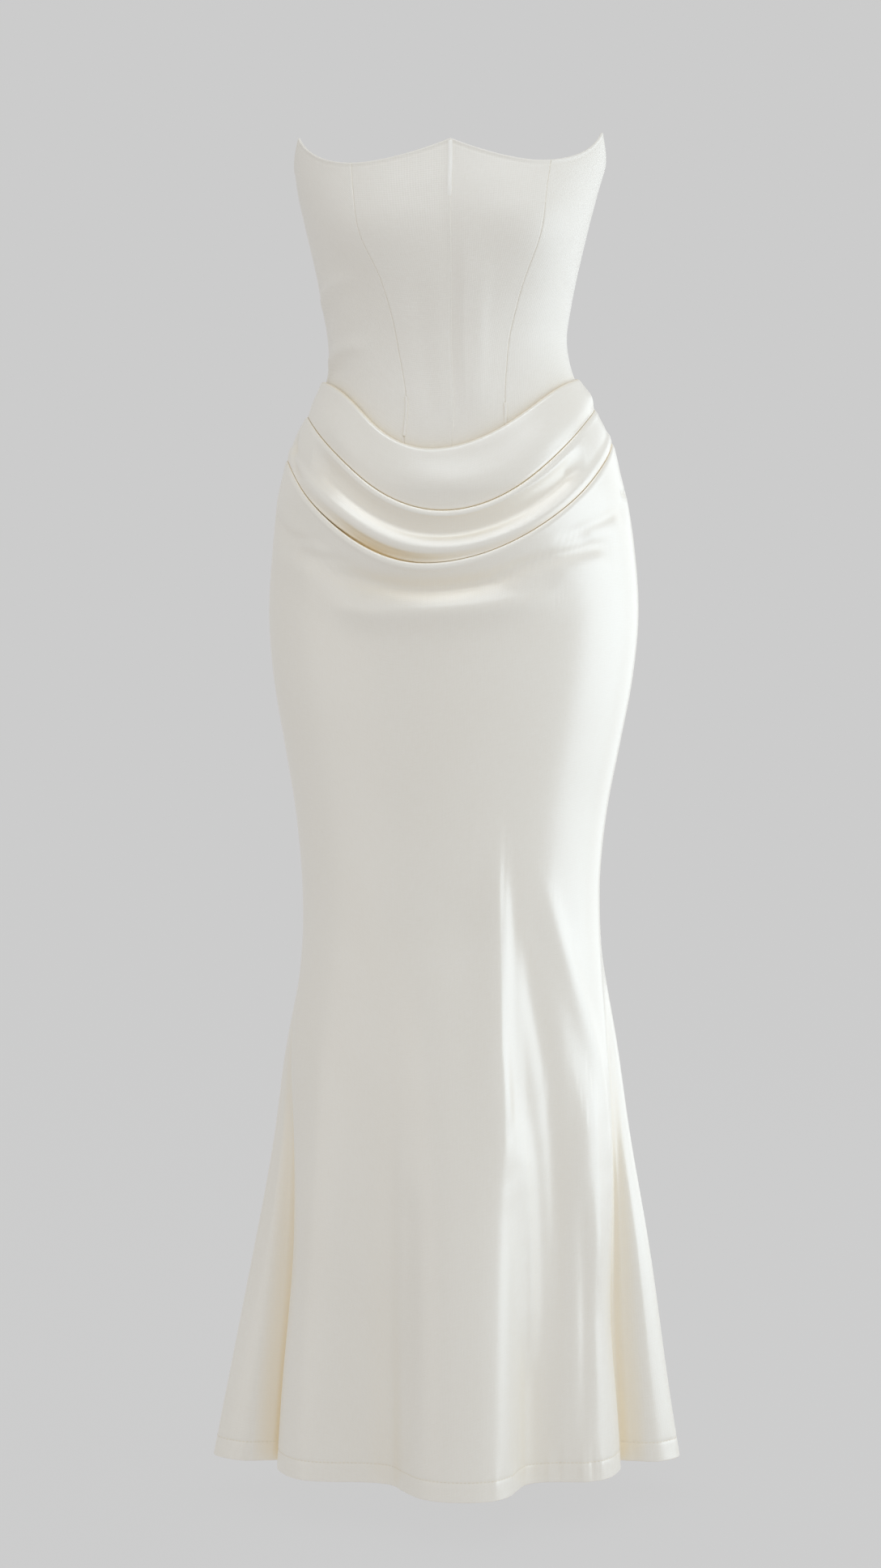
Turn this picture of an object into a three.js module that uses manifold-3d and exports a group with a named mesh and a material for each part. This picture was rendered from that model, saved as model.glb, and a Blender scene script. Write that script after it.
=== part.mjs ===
// A strapless floor-length dress, filled out as when it is worn, with no wearer in it.
// A boned bodice of eight panels stands over a fitted skirt. The skirt's front is pleated
// across the hips into three swags, and flares from the knee to a fluted hem.
// Millimetres. +Z is up, the front faces -Y, and +X is the viewer's right from the front.
// The origin is the middle of the waist, where the boned bodice grips its wearer.

import * as THREE from 'three';
import { mergeVertices } from 'three/addons/utils/BufferGeometryUtils.js';
import Module from 'manifold-3d';

// Driving dimensions
const BODICE_WALL = 2.0; // face cloth, interlining and lining, sewn as one
const SKIRT_WALL = 1.4;
const SEAM_GAP = 0.3; // between two panels along a seam
const SIDE_SEAM = 90; // degrees round the figure from the front
const BACK_SEAM = 180;
const BACK_PRINCESS = 136;
const KNEE = -560; // where the skirt starts to flare
const HEM = -1111;
const FLARE_SOFTNESS = 0.05; // how slowly the flare starts
const WAIST_SEAM_BACK = -36;
const BODICE_TUCK = 18; // how far the bodice runs on behind the first swag

// The figure that the dress was cut for, at each level: its half width, how far its middle
// lies to the side, and how far the front and back stand from the side seams' plane.
const FIGURE = [
  { z: 205, half: 151.7, mid: 0.0, front: 88, back: 84 },
  { z: 175, half: 151.4, mid: -0.5, front: 94, back: 86 },
  { z: 148, half: 146.3, mid: -2.5, front: 99, back: 87 },
  { z: 116, half: 138.5, mid: -3.2, front: 101, back: 86 },
  { z: 69, half: 127.6, mid: -3.3, front: 94, back: 81 },
  { z: 38, half: 121.8, mid: -3.6, front: 88, back: 77 },
  { z: 6, half: 117.1, mid: -2.9, front: 84, back: 74 },
  { z: -26, half: 119.8, mid: 0.0, front: 85, back: 78 },
  { z: -57, half: 131.5, mid: 2.5, front: 90, back: 90 },
  { z: -88, half: 147.5, mid: 2.2, front: 95, back: 104 },
  { z: -120, half: 158.5, mid: 2.7, front: 99, back: 115 },
  { z: -152, half: 170.0, mid: 2.8, front: 102, back: 122 },
  { z: -200, half: 178.3, mid: 3.5, front: 104, back: 127 },
  { z: -263, half: 182.2, mid: 3.6, front: 104, back: 128 },
  { z: -327, half: 177.0, mid: 3.0, front: 102, back: 124 },
  { z: -392, half: 165.6, mid: 2.2, front: 99, back: 116 },
  { z: -456, half: 154.4, mid: 1.2, front: 96, back: 108 },
  { z: -521, half: 148.0, mid: 0.8, front: 94, back: 102 },
  { z: -586, half: 146.8, mid: 1.4, front: 93, back: 99 },
];

// The cups' fullness over the figure, on both sides of the centre front seam.
const CUP = { at: 36, z: 112, stand: 13, spread: 25, height: 50 };

// The front seams of the bodice: degrees round the figure at each level.
const FRONT_SEAMS = [
  { z: 215, centre: -0.4, left: -37.8, right: 38.8 },
  { z: 175, centre: 0.0, left: -37.9, right: 38.9 },
  { z: 140, centre: 0.6, left: -38.7, right: 41.0 },
  { z: 101, centre: 1.1, left: -38.4, right: 42.7 },
  { z: 62, centre: 1.5, left: -31.2, right: 34.9 },
  { z: 23, centre: 1.7, left: -27.0, right: 32.2 },
  { z: -17, centre: 0.8, left: -23.4, right: 27.8 },
  { z: -57, centre: 0.0, left: -19.9, right: 22.3 },
  { z: -100, centre: -0.5, left: -18.0, right: 20.0 },
  { z: -140, centre: -0.5, left: -17.0, right: 19.0 },
];

// The neckline: a point at the centre front, a scoop over each cup and a tip by each arm.
const NECK = {
  peak: 194,
  left: { low: 171.7, lowAt: 36, tip: 200, tipAt: 75.7 },
  right: { low: 174.3, lowAt: 33, tip: 205.5, tipAt: 76.3 },
  scoop: { fromPeak: 1.75, toTip: 1.9 }, // how sharply the curve turns at either end
  tipFall: 1.4,
  underarm: 165,
  underarmAt: 96,
  back: 158,
};

// The three folded rims of the swags. Each hangs between its ends at the side seams and is
// lowest a little off the centre. Its two sides are as wide as given, in degrees, and it stands
// off the figure most where it is lowest and least by the side seams.
const RIMS = [
  { left: -34, right: -31, low: -99.5, lowAt: -8, wideLeft: 36, wideRight: 44, stand: 8.5, side: 5.2 },
  { left: -64, right: -58, low: -158.5, lowAt: -3.5, wideLeft: 46, wideRight: 48, stand: 10.5, side: 6.4 },
  { left: -100, right: -80, low: -208.5, lowAt: -9, wideLeft: 50, wideRight: 62, stand: 12.5, side: 7.2 },
];
// The soft fold that runs along the second swag, with no rim of its own: its share of the
// way down from the second rim to the third.
const SOFT_FOLD = [
  { at: -90, down: 0.72 },
  { at: -64, down: 0.76 },
  { at: -40, down: 0.6 },
  { at: -18, down: 0.6 },
  { at: 6, down: 0.65 },
  { at: 28, down: 0.79 },
  { at: 50, down: 0.8 },
  { at: 90, down: 0.7 },
];
const STAND_SPREAD = 60; // degrees over which a rim settles back to its side stand
const RIM_TURN = { side: 1.9, middle: 2.5 }; // outer radius of a rim's fold
// The pocket behind each rim: its fold's radius, its back's stand, and its depth by the side
// seams and in the middle, or less where the next rim is close. Its mouth is above the rim.
const POCKET = { turn: 0.5, face: 1.7, side: 8, middle: 17, mouth: { stand: 2.0, above: 1.5 } };
const POCKET_ROOM = 0.4; // most of the way to the next rim that a pocket may reach
const FIRST_RIM = { inside: 1.2, turnedIn: 16 }; // clearance off the bodice, and the turned-in edge

// How the first swag's face stands off the figure: the share of the way down to the next
// rim, and the share of the way out from the pocket's stand to its own rim's.
const FIRST_FACE = [
  { down: 0.16, out: 1.0 },
  { down: 0.34, out: 1.07 },
  { down: 0.56, out: 1.1 },
  { down: 0.76, out: 0.78 },
  { down: 0.91, out: 0.32 },
];
// The second face dips above its soft fold, and turns in sharply under it.
const SECOND_FACE = [
  { from: 'rim', down: 0.26, out: 0.97 },
  { from: 'rim', down: 0.58, out: 0.55 },
  { from: 'rim', down: 0.88, out: 0.7 },
  { from: 'fold', down: 0.1, out: 0.95 },
  { from: 'fold', down: 0.48, out: 0.82 },
  { from: 'fold', down: 0.86, out: 0.24 },
];
// Below the last rim come a trough, a soft ridge and the plain skirt: how far down, and the
// share of the rim's stand by the side seams and in the middle.
const LOWER_FACE = [
  { down: 8, side: 0.95, middle: 0.95 },
  { down: 17, side: 0.85, middle: 0.6 },
  { down: 27, side: 0.7, middle: 0.3 },
  { down: 38, side: 0.5, middle: 0.52 },
  { down: 52, side: 0.3, middle: 0.3 },
  { down: 74, side: 0.12, middle: 0.12 },
  { down: 104, side: 0.0, middle: 0.0 },
];
const PLAIN_LEVELS = 14; // rows of points from the swags down to the hem

// The hem, one row for each crest and hollow of the flare. At is the place on the figure,
// in degrees from the front, from which that fold falls.
const HEM_FOLDS = [
  { fold: 'left seam', at: -90, x: -165, y: -17 },
  { fold: 'left ridge', at: -84, x: -172.9, y: -41 },
  { fold: 'left ridge front', at: -76, x: -165.2, y: -66 },
  { fold: 'left corner', at: -66, x: -148.4, y: -85 },
  { fold: 'left flat', at: -54, x: -124.3, y: -91.6 },
  { fold: 'left hollow', at: -38, x: -85, y: -93.5 },
  { fold: 'middle flute, left foot', at: -26, x: -58, y: -103 },
  { fold: 'middle flute, left side', at: -18, x: -45.8, y: -125 },
  { fold: 'middle flute, left crest', at: -10, x: -30, y: -148 },
  { fold: 'middle flute, front', at: -3, x: -11, y: -159 },
  { fold: 'middle flute, crest', at: 4, x: 11, y: -162.3 },
  { fold: 'middle flute, right front', at: 12, x: 35, y: -159.6 },
  { fold: 'middle flute, right crest', at: 19, x: 54.6, y: -146.5 },
  { fold: 'middle flute, right side', at: 25, x: 66.2, y: -121 },
  { fold: 'middle flute, right foot', at: 30, x: 74, y: -103 },
  { fold: 'right hollow', at: 38, x: 91, y: -94 },
  { fold: 'right flat', at: 50, x: 115, y: -93 },
  { fold: 'right corner', at: 62, x: 138.5, y: -92 },
  { fold: 'right ridge front', at: 73, x: 159, y: -77 },
  { fold: 'right ridge', at: 82, x: 170, y: -48 },
  { fold: 'right seam', at: 90, x: 168, y: -20 },
  { fold: 'right flute root', at: 95, x: 182, y: -20 },
  { fold: 'right flute face', at: 102, x: 210, y: -22 },
  { fold: 'right flute tip', at: 111, x: 231.5, y: -1 },
  { fold: 'right flute back', at: 121, x: 218, y: 40 },
  { fold: 'right back hollow', at: 132, x: 172, y: 80 },
  { fold: 'right back crest', at: 146, x: 146, y: 140 },
  { fold: 'back hollow, right', at: 163, x: 74, y: 147 },
  { fold: 'back crest', at: 180, x: 2, y: 184 },
  { fold: 'back hollow, left', at: 198, x: -79, y: 150 },
  { fold: 'left back crest', at: 214, x: -149, y: 137 },
  { fold: 'left back hollow', at: 228, x: -173, y: 78 },
  { fold: 'left flute back', at: 239, x: -223, y: 42 },
  { fold: 'left flute tip', at: 249, x: -239, y: 5 },
  { fold: 'left flute face', at: 258, x: -212, y: -18 },
  { fold: 'left flute root', at: 265, x: -180, y: -18 },
];

// Where the cloth leaves the straight line from the knee to the hem, or from the figure.
const BENDS = [
  { bend: 'left ridge, above', at: -84, spread: 11, z: -690, reach: 75, x: -6, y: 0 },
  { bend: 'left ridge, below', at: -84, spread: 11, z: -900, reach: 100, x: 5, y: 0 },
  { bend: 'right ridge, above', at: 82, spread: 11, z: -770, reach: 110, x: 4, y: 0 },
  { bend: 'right ridge, below', at: 82, spread: 11, z: -960, reach: 80, x: -5, y: 0 },
  { bend: 'left flute', at: -112, spread: 20, z: -690, reach: 80, x: -6, y: 0 },
  { bend: 'right flute, above', at: 112, spread: 22, z: -680, reach: 100, x: 8, y: 0 },
  { bend: 'right flute, below', at: 112, spread: 22, z: -880, reach: 140, x: 7, y: 0 },
  { bend: 'left seam over the pleats', at: -96, spread: 11, z: -115, reach: 52, x: -3, y: 0 },
  { bend: 'right seam over the pleats', at: 96, spread: 11, z: -110, reach: 52, x: 3, y: 0 },
];

// The bone ends that show as short raised strips on the bodice.
const BONE_STRIP = { wall: 0.9, steps: 6 };
const BONES = [
  { name: 'bone_strip_centre', seam: 'centre', top: 192, bottom: 138, width: 6 },
  { name: 'bone_strip_left', seam: 'left', top: -50, bottom: -88, width: 3 },
  { name: 'bone_strip_right', seam: 'right', top: -56, bottom: -77, width: 3.4 },
];

// The concealed zip in the centre back seam, with its slider at the top.
const ZIP = {
  bottom: -210,
  tape: { width: 22, wall: 0.8, steps: 34, clearance: 0.6 },
  notch: 14, // where the edges part for the slider
  notchHalf: 0.95,
  plate: { width: 7.6, depth: 2.2, height: 8.6, drop: 7.5 },
  crown: { width: 1.0, bar: 1.1, hole: { deep: 2.0, tall: 4.6 }, offCloth: 0.4, sunk: 0.2 },
  pull: { wall: 0.9, arm: 1.1, window: { half: 1.3, long: 4.9 }, neck: { drop: 8.2, half: 1.7 }, length: 24 },
};

// Colours
const IVORY_CREPE = new THREE.MeshStandardMaterial({ color: 0xefece3, roughness: 0.62, metalness: 0 });
const IVORY_SATIN = new THREE.MeshStandardMaterial({ color: 0xf1ede2, roughness: 0.36, metalness: 0 });
const IVORY_TAPE = new THREE.MeshStandardMaterial({ color: 0xece8dc, roughness: 0.8, metalness: 0 });
const IVORY_ENAMEL = new THREE.MeshStandardMaterial({ color: 0xeae6da, roughness: 0.3, metalness: 0.1 });

const radians = THREE.MathUtils.degToRad;
const lerp = THREE.MathUtils.lerp;
const clamp = THREE.MathUtils.clamp;

// A smooth curve through a table's rows, read at one place. The rows rise or fall in key.
function readTable(rows, key, column, at) {
  const rising = rows[rows.length - 1][key] > rows[0][key];
  const sorted = rising ? rows : [...rows].reverse();
  const last = sorted.length - 1;
  const place = clamp(at, sorted[0][key], sorted[last][key]);
  let i = 0;
  while (i < last - 1 && sorted[i + 1][key] < place) i += 1;
  const slope = (k) => {
    const before = sorted[Math.max(k - 1, 0)];
    const after = sorted[Math.min(k + 1, last)];
    return (after[column] - before[column]) / (after[key] - before[key]);
  };
  return hermite(sorted[i], sorted[i + 1], key, column, slope(i), slope(i + 1), place);
}

function hermite(low, high, key, column, slopeLow, slopeHigh, at) {
  const span = high[key] - low[key];
  const t = (at - low[key]) / span;
  const tt = t * t;
  const ttt = tt * t;
  return (
    (2 * ttt - 3 * tt + 1) * low[column] +
    (ttt - 2 * tt + t) * span * slopeLow +
    (3 * tt - 2 * ttt) * high[column] +
    (ttt - tt) * span * slopeHigh
  );
}

// The hem's outline at a place on the figure. The rows go once round and close up.
const FULL_TURN = 360;
const HEM_ROUND = [
  ...HEM_FOLDS.slice(-2).map((row) => ({ ...row, at: row.at - FULL_TURN })),
  ...HEM_FOLDS,
  ...HEM_FOLDS.slice(0, 2).map((row) => ({ ...row, at: row.at + FULL_TURN })),
];

function hemPoint(at) {
  const turned = at < -SIDE_SEAM ? at + FULL_TURN : at;
  return { x: readTable(HEM_ROUND, 'at', 'x', turned), y: readTable(HEM_ROUND, 'at', 'y', turned) };
}

// The shortest way round from one place to another, in degrees.
function apart(a, b) {
  const turn = Math.abs(a - b) % FULL_TURN;
  return Math.min(turn, FULL_TURN - turn);
}

// How much of the hem's flare has developed at a level, from 0 at the knee to 1 at the hem.
function flare(z) {
  const q = clamp((KNEE - z) / (KNEE - HEM), 0, 1);
  return (q * q * (1 + FLARE_SOFTNESS)) / (q + FLARE_SOFTNESS);
}

// The dress's outer line at a level: a point on it, at a place on the figure in degrees.
function outline(at, z) {
  const level = Math.max(z, FIGURE[FIGURE.length - 1].z);
  const half = readTable(FIGURE, 'z', 'half', level);
  const mid = readTable(FIGURE, 'z', 'mid', level);
  const depth = readTable(FIGURE, 'z', Math.cos(radians(at)) > 0 ? 'front' : 'back', level);
  const figure = { x: mid + half * Math.sin(radians(at)), y: -depth * Math.cos(radians(at)) };
  const hem = hemPoint(at);
  const share = flare(z);
  const point = { x: lerp(figure.x, hem.x, share), y: lerp(figure.y, hem.y, share) };
  for (const bend of BENDS) {
    const strength = bell(apart(at, bend.at), bend.spread) * bell(z - bend.z, bend.reach);
    point.x += bend.x * strength;
    point.y += bend.y * strength;
  }
  return point;
}

// The level direction that points straight out of the dress there, and the one along it.
const PROBE = 0.4;

function directions(at, z) {
  const before = outline(at - PROBE, z);
  const after = outline(at + PROBE, z);
  const along = new THREE.Vector2(after.x - before.x, after.y - before.y).normalize();
  return { along, out: new THREE.Vector2(along.y, -along.x) };
}

// The point at a place and level that stands off the outline, and is moved along it.
function onDress(at, z, stand, shift = 0) {
  const base = outline(at, z);
  const { along, out } = directions(at, z);
  const x = base.x + out.x * stand + along.x * shift;
  const y = base.y + out.y * stand + along.y * shift;
  return new THREE.Vector3(x, y, z);
}

function bell(distance, spread) {
  return Math.exp(-((distance / spread) ** 2));
}

// A closed wall of cloth from two grids of points: its right side and its wrong side.
function clothMesh(name, material, columns, rows, place) {
  const points = [];
  const faces = [];
  const number = (side, i, j) => (side * columns + i) * rows + j;
  for (const side of ['outer', 'inner']) {
    for (let i = 0; i < columns; i += 1) {
      for (let j = 0; j < rows; j += 1) points.push(place(i, j)[side]);
    }
  }
  const quad = (a, b, c, d) => faces.push(a, b, c, a, c, d);
  for (let i = 0; i < columns - 1; i += 1) {
    for (let j = 0; j < rows - 1; j += 1) {
      quad(number(0, i, j), number(0, i + 1, j), number(0, i + 1, j + 1), number(0, i, j + 1));
      quad(number(1, i, j), number(1, i, j + 1), number(1, i + 1, j + 1), number(1, i + 1, j));
    }
  }
  for (let i = 0; i < columns - 1; i += 1) {
    quad(number(0, i, 0), number(1, i, 0), number(1, i + 1, 0), number(0, i + 1, 0));
    const top = rows - 1;
    quad(number(0, i + 1, top), number(1, i + 1, top), number(1, i, top), number(0, i, top));
  }
  for (let j = 0; j < rows - 1; j += 1) {
    quad(number(0, 0, j + 1), number(1, 0, j + 1), number(1, 0, j), number(0, 0, j));
    const end = columns - 1;
    quad(number(0, end, j), number(1, end, j), number(1, end, j + 1), number(0, end, j + 1));
  }
  return meshOf(name, material, points, faces);
}

function meshOf(name, material, points, faces) {
  const geometry = new THREE.BufferGeometry();
  const numbers = points.flatMap((p) => [p.x, p.y, p.z]);
  geometry.setAttribute('position', new THREE.Float32BufferAttribute(numbers, 3));
  geometry.setIndex(faces);
  geometry.computeVertexNormals();
  const mesh = new THREE.Mesh(geometry, material);
  mesh.name = name;
  return mesh;
}

// Bodice

function neckline(at) {
  const side = at < 0 ? NECK.left : NECK.right;
  const away = Math.abs(at);
  if (away <= side.lowAt) {
    return side.low + (NECK.peak - side.low) * (1 - away / side.lowAt) ** NECK.scoop.fromPeak;
  }
  if (away <= side.tipAt) {
    const share = (away - side.lowAt) / (side.tipAt - side.lowAt);
    return side.low + (side.tip - side.low) * share ** NECK.scoop.toTip;
  }
  if (away <= NECK.underarmAt) {
    const share = (away - side.tipAt) / (NECK.underarmAt - side.tipAt);
    return NECK.underarm + (side.tip - NECK.underarm) * (1 - share) ** NECK.tipFall;
  }
  const share = (away - NECK.underarmAt) / (BACK_SEAM - NECK.underarmAt);
  return NECK.back + (NECK.underarm - NECK.back) * Math.cos((share * Math.PI) / 2) ** 2;
}

function rimLevel(rim, at) {
  const spread = at < rim.lowAt ? rim.wideLeft : rim.wideRight;
  const end = lerp(rim.left, rim.right, (clamp(at, -SIDE_SEAM, SIDE_SEAM) + SIDE_SEAM) / (2 * SIDE_SEAM));
  return end + (rim.low - end) * bell(at - rim.lowAt, spread);
}

// The bodice's lower edge: tucked in behind the first swag, or sewn to the back of the skirt.
const tuckedIn = (at) => rimLevel(RIMS[0], at) - BODICE_TUCK;
const sewnBack = () => WAIST_SEAM_BACK + SEAM_GAP;

function cupStand(at, z) {
  return CUP.stand * bell(Math.abs(at) - CUP.at, CUP.spread) * bell(z - CUP.z, CUP.height);
}

const frontSeam = (column) => (z) => readTable(FRONT_SEAMS, 'z', column, z);
const straightSeam = (at) => () => at;
const BODICE_ROWS = 12;
const NOTCH_SLOPE = 2.5; // height over which the cloth parts for the slider
const LEVEL_ROUNDS = 8; // a panel's place and level depend on each other, so they are refined

// One bodice panel between two seams. Shares place its columns. Its lowest rows are spread
// evenly from its lower edge up, and a panel by the zip has rows at the slider's notch too.
function bodicePanel({ name, from, to, shares, bottom, zipAt = 0 }) {
  const drops = zipAt ? [ZIP.notch, ZIP.notch - NOTCH_SLOPE, 0] : [0];
  const evenRows = BODICE_ROWS - 1;
  const level = (at, j) => {
    const top = neckline(at);
    if (j >= evenRows) return top - drops[j - evenRows];
    const low = bottom(at);
    return lerp(low, top - drops[0], j / evenRows);
  };
  const place = (i, j) => {
    let z = 0;
    let at = 0;
    for (let round = 0; round < LEVEL_ROUNDS; round += 1) {
      at = lerp(from(z), to(z), shares[i]);
      z = level(at, j);
    }
    const edge = edgeOf(i, shares.length);
    const atNotch = edge === zipAt && j > evenRows;
    const shift = edge * (atNotch ? ZIP.notchHalf : SEAM_GAP / 2);
    const stand = cupStand(at, z);
    return { outer: onDress(at, z, stand, shift), inner: onDress(at, z, stand - BODICE_WALL, shift) };
  };
  return clothMesh(name, IVORY_CREPE, shares.length, evenRows + drops.length, place);
}

// Which way a column moves to leave half a seam's gap: in from the first and the last.
function edgeOf(i, columns) {
  if (i === 0) return 1;
  return i === columns - 1 ? -1 : 0;
}

// The columns of a panel from a front seam to the side seam, with one at the neckline's tip
// and one close beside it, so that the tip stays sharp.
const BESIDE_TIP = 0.07;

function tipShares(seamAt, tipAt) {
  const tip = (tipAt - seamAt) / (SIDE_SEAM - seamAt);
  return [0, tip / 3, (2 * tip) / 3, tip - BESIDE_TIP, tip, (1 + tip) / 2, 1];
}

function makeBodice() {
  const six = [0, 0.2, 0.4, 0.6, 0.8, 1];
  const centre = frontSeam('centre');
  const left = frontSeam('left');
  const right = frontSeam('right');
  const leftShares = tipShares(-left(NECK.left.tip), NECK.left.tipAt).map((share) => 1 - share).reverse();
  const rightShares = tipShares(right(NECK.right.tip), NECK.right.tipAt);
  const side = { left: straightSeam(-SIDE_SEAM), right: straightSeam(SIDE_SEAM) };
  const back = { left: straightSeam(-BACK_PRINCESS), right: straightSeam(BACK_PRINCESS) };
  const zip = { left: straightSeam(-BACK_SEAM), right: straightSeam(BACK_SEAM) };
  return [
    { name: 'bodice_front_left', from: left, to: centre, shares: six, bottom: tuckedIn },
    { name: 'bodice_front_right', from: centre, to: right, shares: six, bottom: tuckedIn },
    { name: 'bodice_side_front_left', from: side.left, to: left, shares: leftShares, bottom: tuckedIn },
    { name: 'bodice_side_front_right', from: right, to: side.right, shares: rightShares, bottom: tuckedIn },
    { name: 'bodice_side_back_left', from: back.left, to: side.left, shares: six, bottom: sewnBack },
    { name: 'bodice_side_back_right', from: side.right, to: back.right, shares: six, bottom: sewnBack },
    { name: 'bodice_back_left', from: zip.left, to: back.left, shares: six, bottom: sewnBack, zipAt: 1 },
    { name: 'bodice_back_right', from: back.right, to: zip.right, shares: six, bottom: sewnBack, zipAt: -1 },
  ].map((panel) => bodicePanel(panel));
}

// A bone's casing lies on the bodice, made from the bodice's own points moved out.
function boneStrip(bone) {
  const seam = frontSeam(bone.seam);
  const across = [-0.5, 0, 0.5];
  const place = (i, j) => {
    const z = lerp(bone.bottom, bone.top, j / BONE_STRIP.steps);
    const at = seam(z);
    const stand = cupStand(at, z) + SEAM_GAP;
    const shift = across[i] * bone.width;
    return { outer: onDress(at, z, stand + BONE_STRIP.wall, shift), inner: onDress(at, z, stand, shift) };
  };
  return clothMesh(bone.name, IVORY_CREPE, across.length, BONE_STRIP.steps + 1, place);
}

// Skirt

function rimStand(rim, at) {
  return lerp(rim.side, rim.stand, bell(at - rim.lowAt, STAND_SPREAD));
}

function foldArc(middle, level, radius, angles) {
  return angles.map((angle) => ({
    d: middle + radius * Math.cos(radians(angle)),
    z: level + radius * Math.sin(radians(angle)),
  }));
}

const RIM_ANGLES = [180, 120, 60, 0];
const POCKET_ANGLES = [180, 270, 360];

// A rim's fold, from its inner leg over the top to its face.
function rimFold(rim, at) {
  const turn = lerp(RIM_TURN.side, RIM_TURN.middle, bell(at - rim.lowAt, STAND_SPREAD));
  return foldArc(rimStand(rim, at) - turn, rimLevel(rim, at) - turn, turn, RIM_ANGLES);
}

// The pocket under a rim: down behind it, round, and up again as its inner leg.
function pocketFold(rim, at, nextLevel = -Infinity) {
  const level = rimLevel(rim, at);
  const fullDepth = lerp(POCKET.side, POCKET.middle, bell(at - rim.lowAt, STAND_SPREAD));
  const depth = Math.min(fullDepth, POCKET_ROOM * (level - nextLevel));
  const turns = foldArc(POCKET.face + POCKET.turn, level - depth, POCKET.turn, POCKET_ANGLES);
  return [{ d: POCKET.mouth.stand, z: level + POCKET.mouth.above }, ...turns];
}

// The skirt front's cut through one place: its right side's points from the turned-in edge
// of the first rim down to the hem, as stand off the figure and level.
function frontProfile(at) {
  const [first, second, third] = RIMS;
  const levels = RIMS.map((rim) => rimLevel(rim, at));
  const stands = RIMS.map((rim) => rimStand(rim, at));
  const softFold = lerp(levels[1], levels[2], readTable(SOFT_FOLD, 'at', 'down', at));
  const middle = bell(at - third.lowAt, STAND_SPREAD);
  const mouths = levels.map((level) => level + POCKET.mouth.above);
  const turnedIn = [{ d: FIRST_RIM.inside, z: levels[0] - FIRST_RIM.turnedIn }];
  const firstFace = FIRST_FACE.map((row) => ({
    d: lerp(POCKET.face, stands[0], row.out),
    z: lerp(levels[0], mouths[1], row.down),
  }));
  const secondFace = SECOND_FACE.map((row) => ({
    d: lerp(POCKET.face, stands[1], row.out),
    z: row.from === 'rim' ? lerp(levels[1], softFold, row.down) : lerp(softFold, mouths[2], row.down),
  }));
  const lowerFace = LOWER_FACE.map((row) => ({
    d: stands[2] * lerp(row.side, row.middle, middle),
    z: levels[2] - row.down,
  }));
  const plainTop = lowerFace[lowerFace.length - 1].z;
  const plain = Array.from({ length: PLAIN_LEVELS }, (_, k) => ({
    d: 0,
    z: lerp(plainTop, HEM, (k + 1) / PLAIN_LEVELS),
  }));
  return [
    ...turnedIn,
    ...firstRimFold(first, at),
    ...firstFace,
    ...pocketFold(second, at, levels[2]),
    ...rimFold(second, at),
    ...secondFace,
    ...pocketFold(third, at),
    ...rimFold(third, at),
    ...lowerFace,
    ...plain,
  ];
}

// The first rim folds over the bodice, so its inner leg stays just off the bodice.
function firstRimFold(rim, at) {
  const turn = (rimStand(rim, at) - FIRST_RIM.inside) / 2;
  return foldArc(FIRST_RIM.inside + turn, rimLevel(rim, at) - turn, turn, RIM_ANGLES);
}

// The wrong side's point of a profile: a wall's thickness behind the right side.
function behind(profile, j) {
  const before = profile[Math.max(j - 1, 0)];
  const after = profile[Math.min(j + 1, profile.length - 1)];
  const run = Math.hypot(after.d - before.d, after.z - before.z);
  const outwards = -(after.z - before.z) / run;
  const upwards = (after.d - before.d) / run;
  return { d: profile[j].d - SKIRT_WALL * outwards, z: profile[j].z - SKIRT_WALL * upwards };
}

function makeSkirtFront() {
  const places = frontColumns();
  const profiles = places.map((at) => frontProfile(at));
  const place = (i, j) => {
    const shift = (-edgeOf(i, places.length) * SEAM_GAP) / 2;
    const right = profiles[i][j];
    const wrong = j === profiles[i].length - 1 ? { d: -SKIRT_WALL, z: HEM } : behind(profiles[i], j);
    return {
      outer: onDress(places[i], right.z, right.d, shift),
      inner: onDress(places[i], wrong.z, wrong.d, shift),
    };
  };
  return clothMesh('skirt_front', IVORY_SATIN, places.length, profiles[0].length, place);
}

// Columns of the skirt front, closest together at the ridges by the side seams. A profile
// runs down the dress, so the columns run from right to left to keep the faces out.
function frontColumns() {
  const half = [90, 87, 84, 80, 76, 70, 63, 55, 47, 39, 32, 26, 20, 14, 9, 4];
  return [...half, ...half.map((at) => -at).reverse()];
}

// The skirt back's rows of points are closest together over the hips.
const BACK_ROWS = { count: 25, crowding: 1.35 };

function makeSkirtBack(name, places) {
  const place = (i, j) => {
    const at = places[i];
    const down = 1 - j / (BACK_ROWS.count - 1);
    const z = lerp(WAIST_SEAM_BACK, HEM, down ** BACK_ROWS.crowding);
    const shift = (edgeOf(i, places.length) * SEAM_GAP) / 2;
    return { outer: onDress(at, z, 0, shift), inner: onDress(at, z, -SKIRT_WALL, shift) };
  };
  return clothMesh(name, IVORY_SATIN, places.length, BACK_ROWS.count, place);
}

// The columns of a back panel, from its side seam round to the centre back.
function backPlaces(from, turn) {
  const away = [0, 3, 6, 10, 15, 21, 26, 31, 37, 43, 49, 56, 62, 67, 73, 81, 90];
  const places = away.map((step) => from + turn * step);
  return turn > 0 ? places : places.reverse();
}

function makeSkirt() {
  return [
    makeSkirtFront(),
    makeSkirtBack('skirt_back_right', backPlaces(SIDE_SEAM, 1)),
    makeSkirtBack('skirt_back_left', backPlaces(FULL_TURN - SIDE_SEAM, -1)),
  ];
}

// Zip

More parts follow.
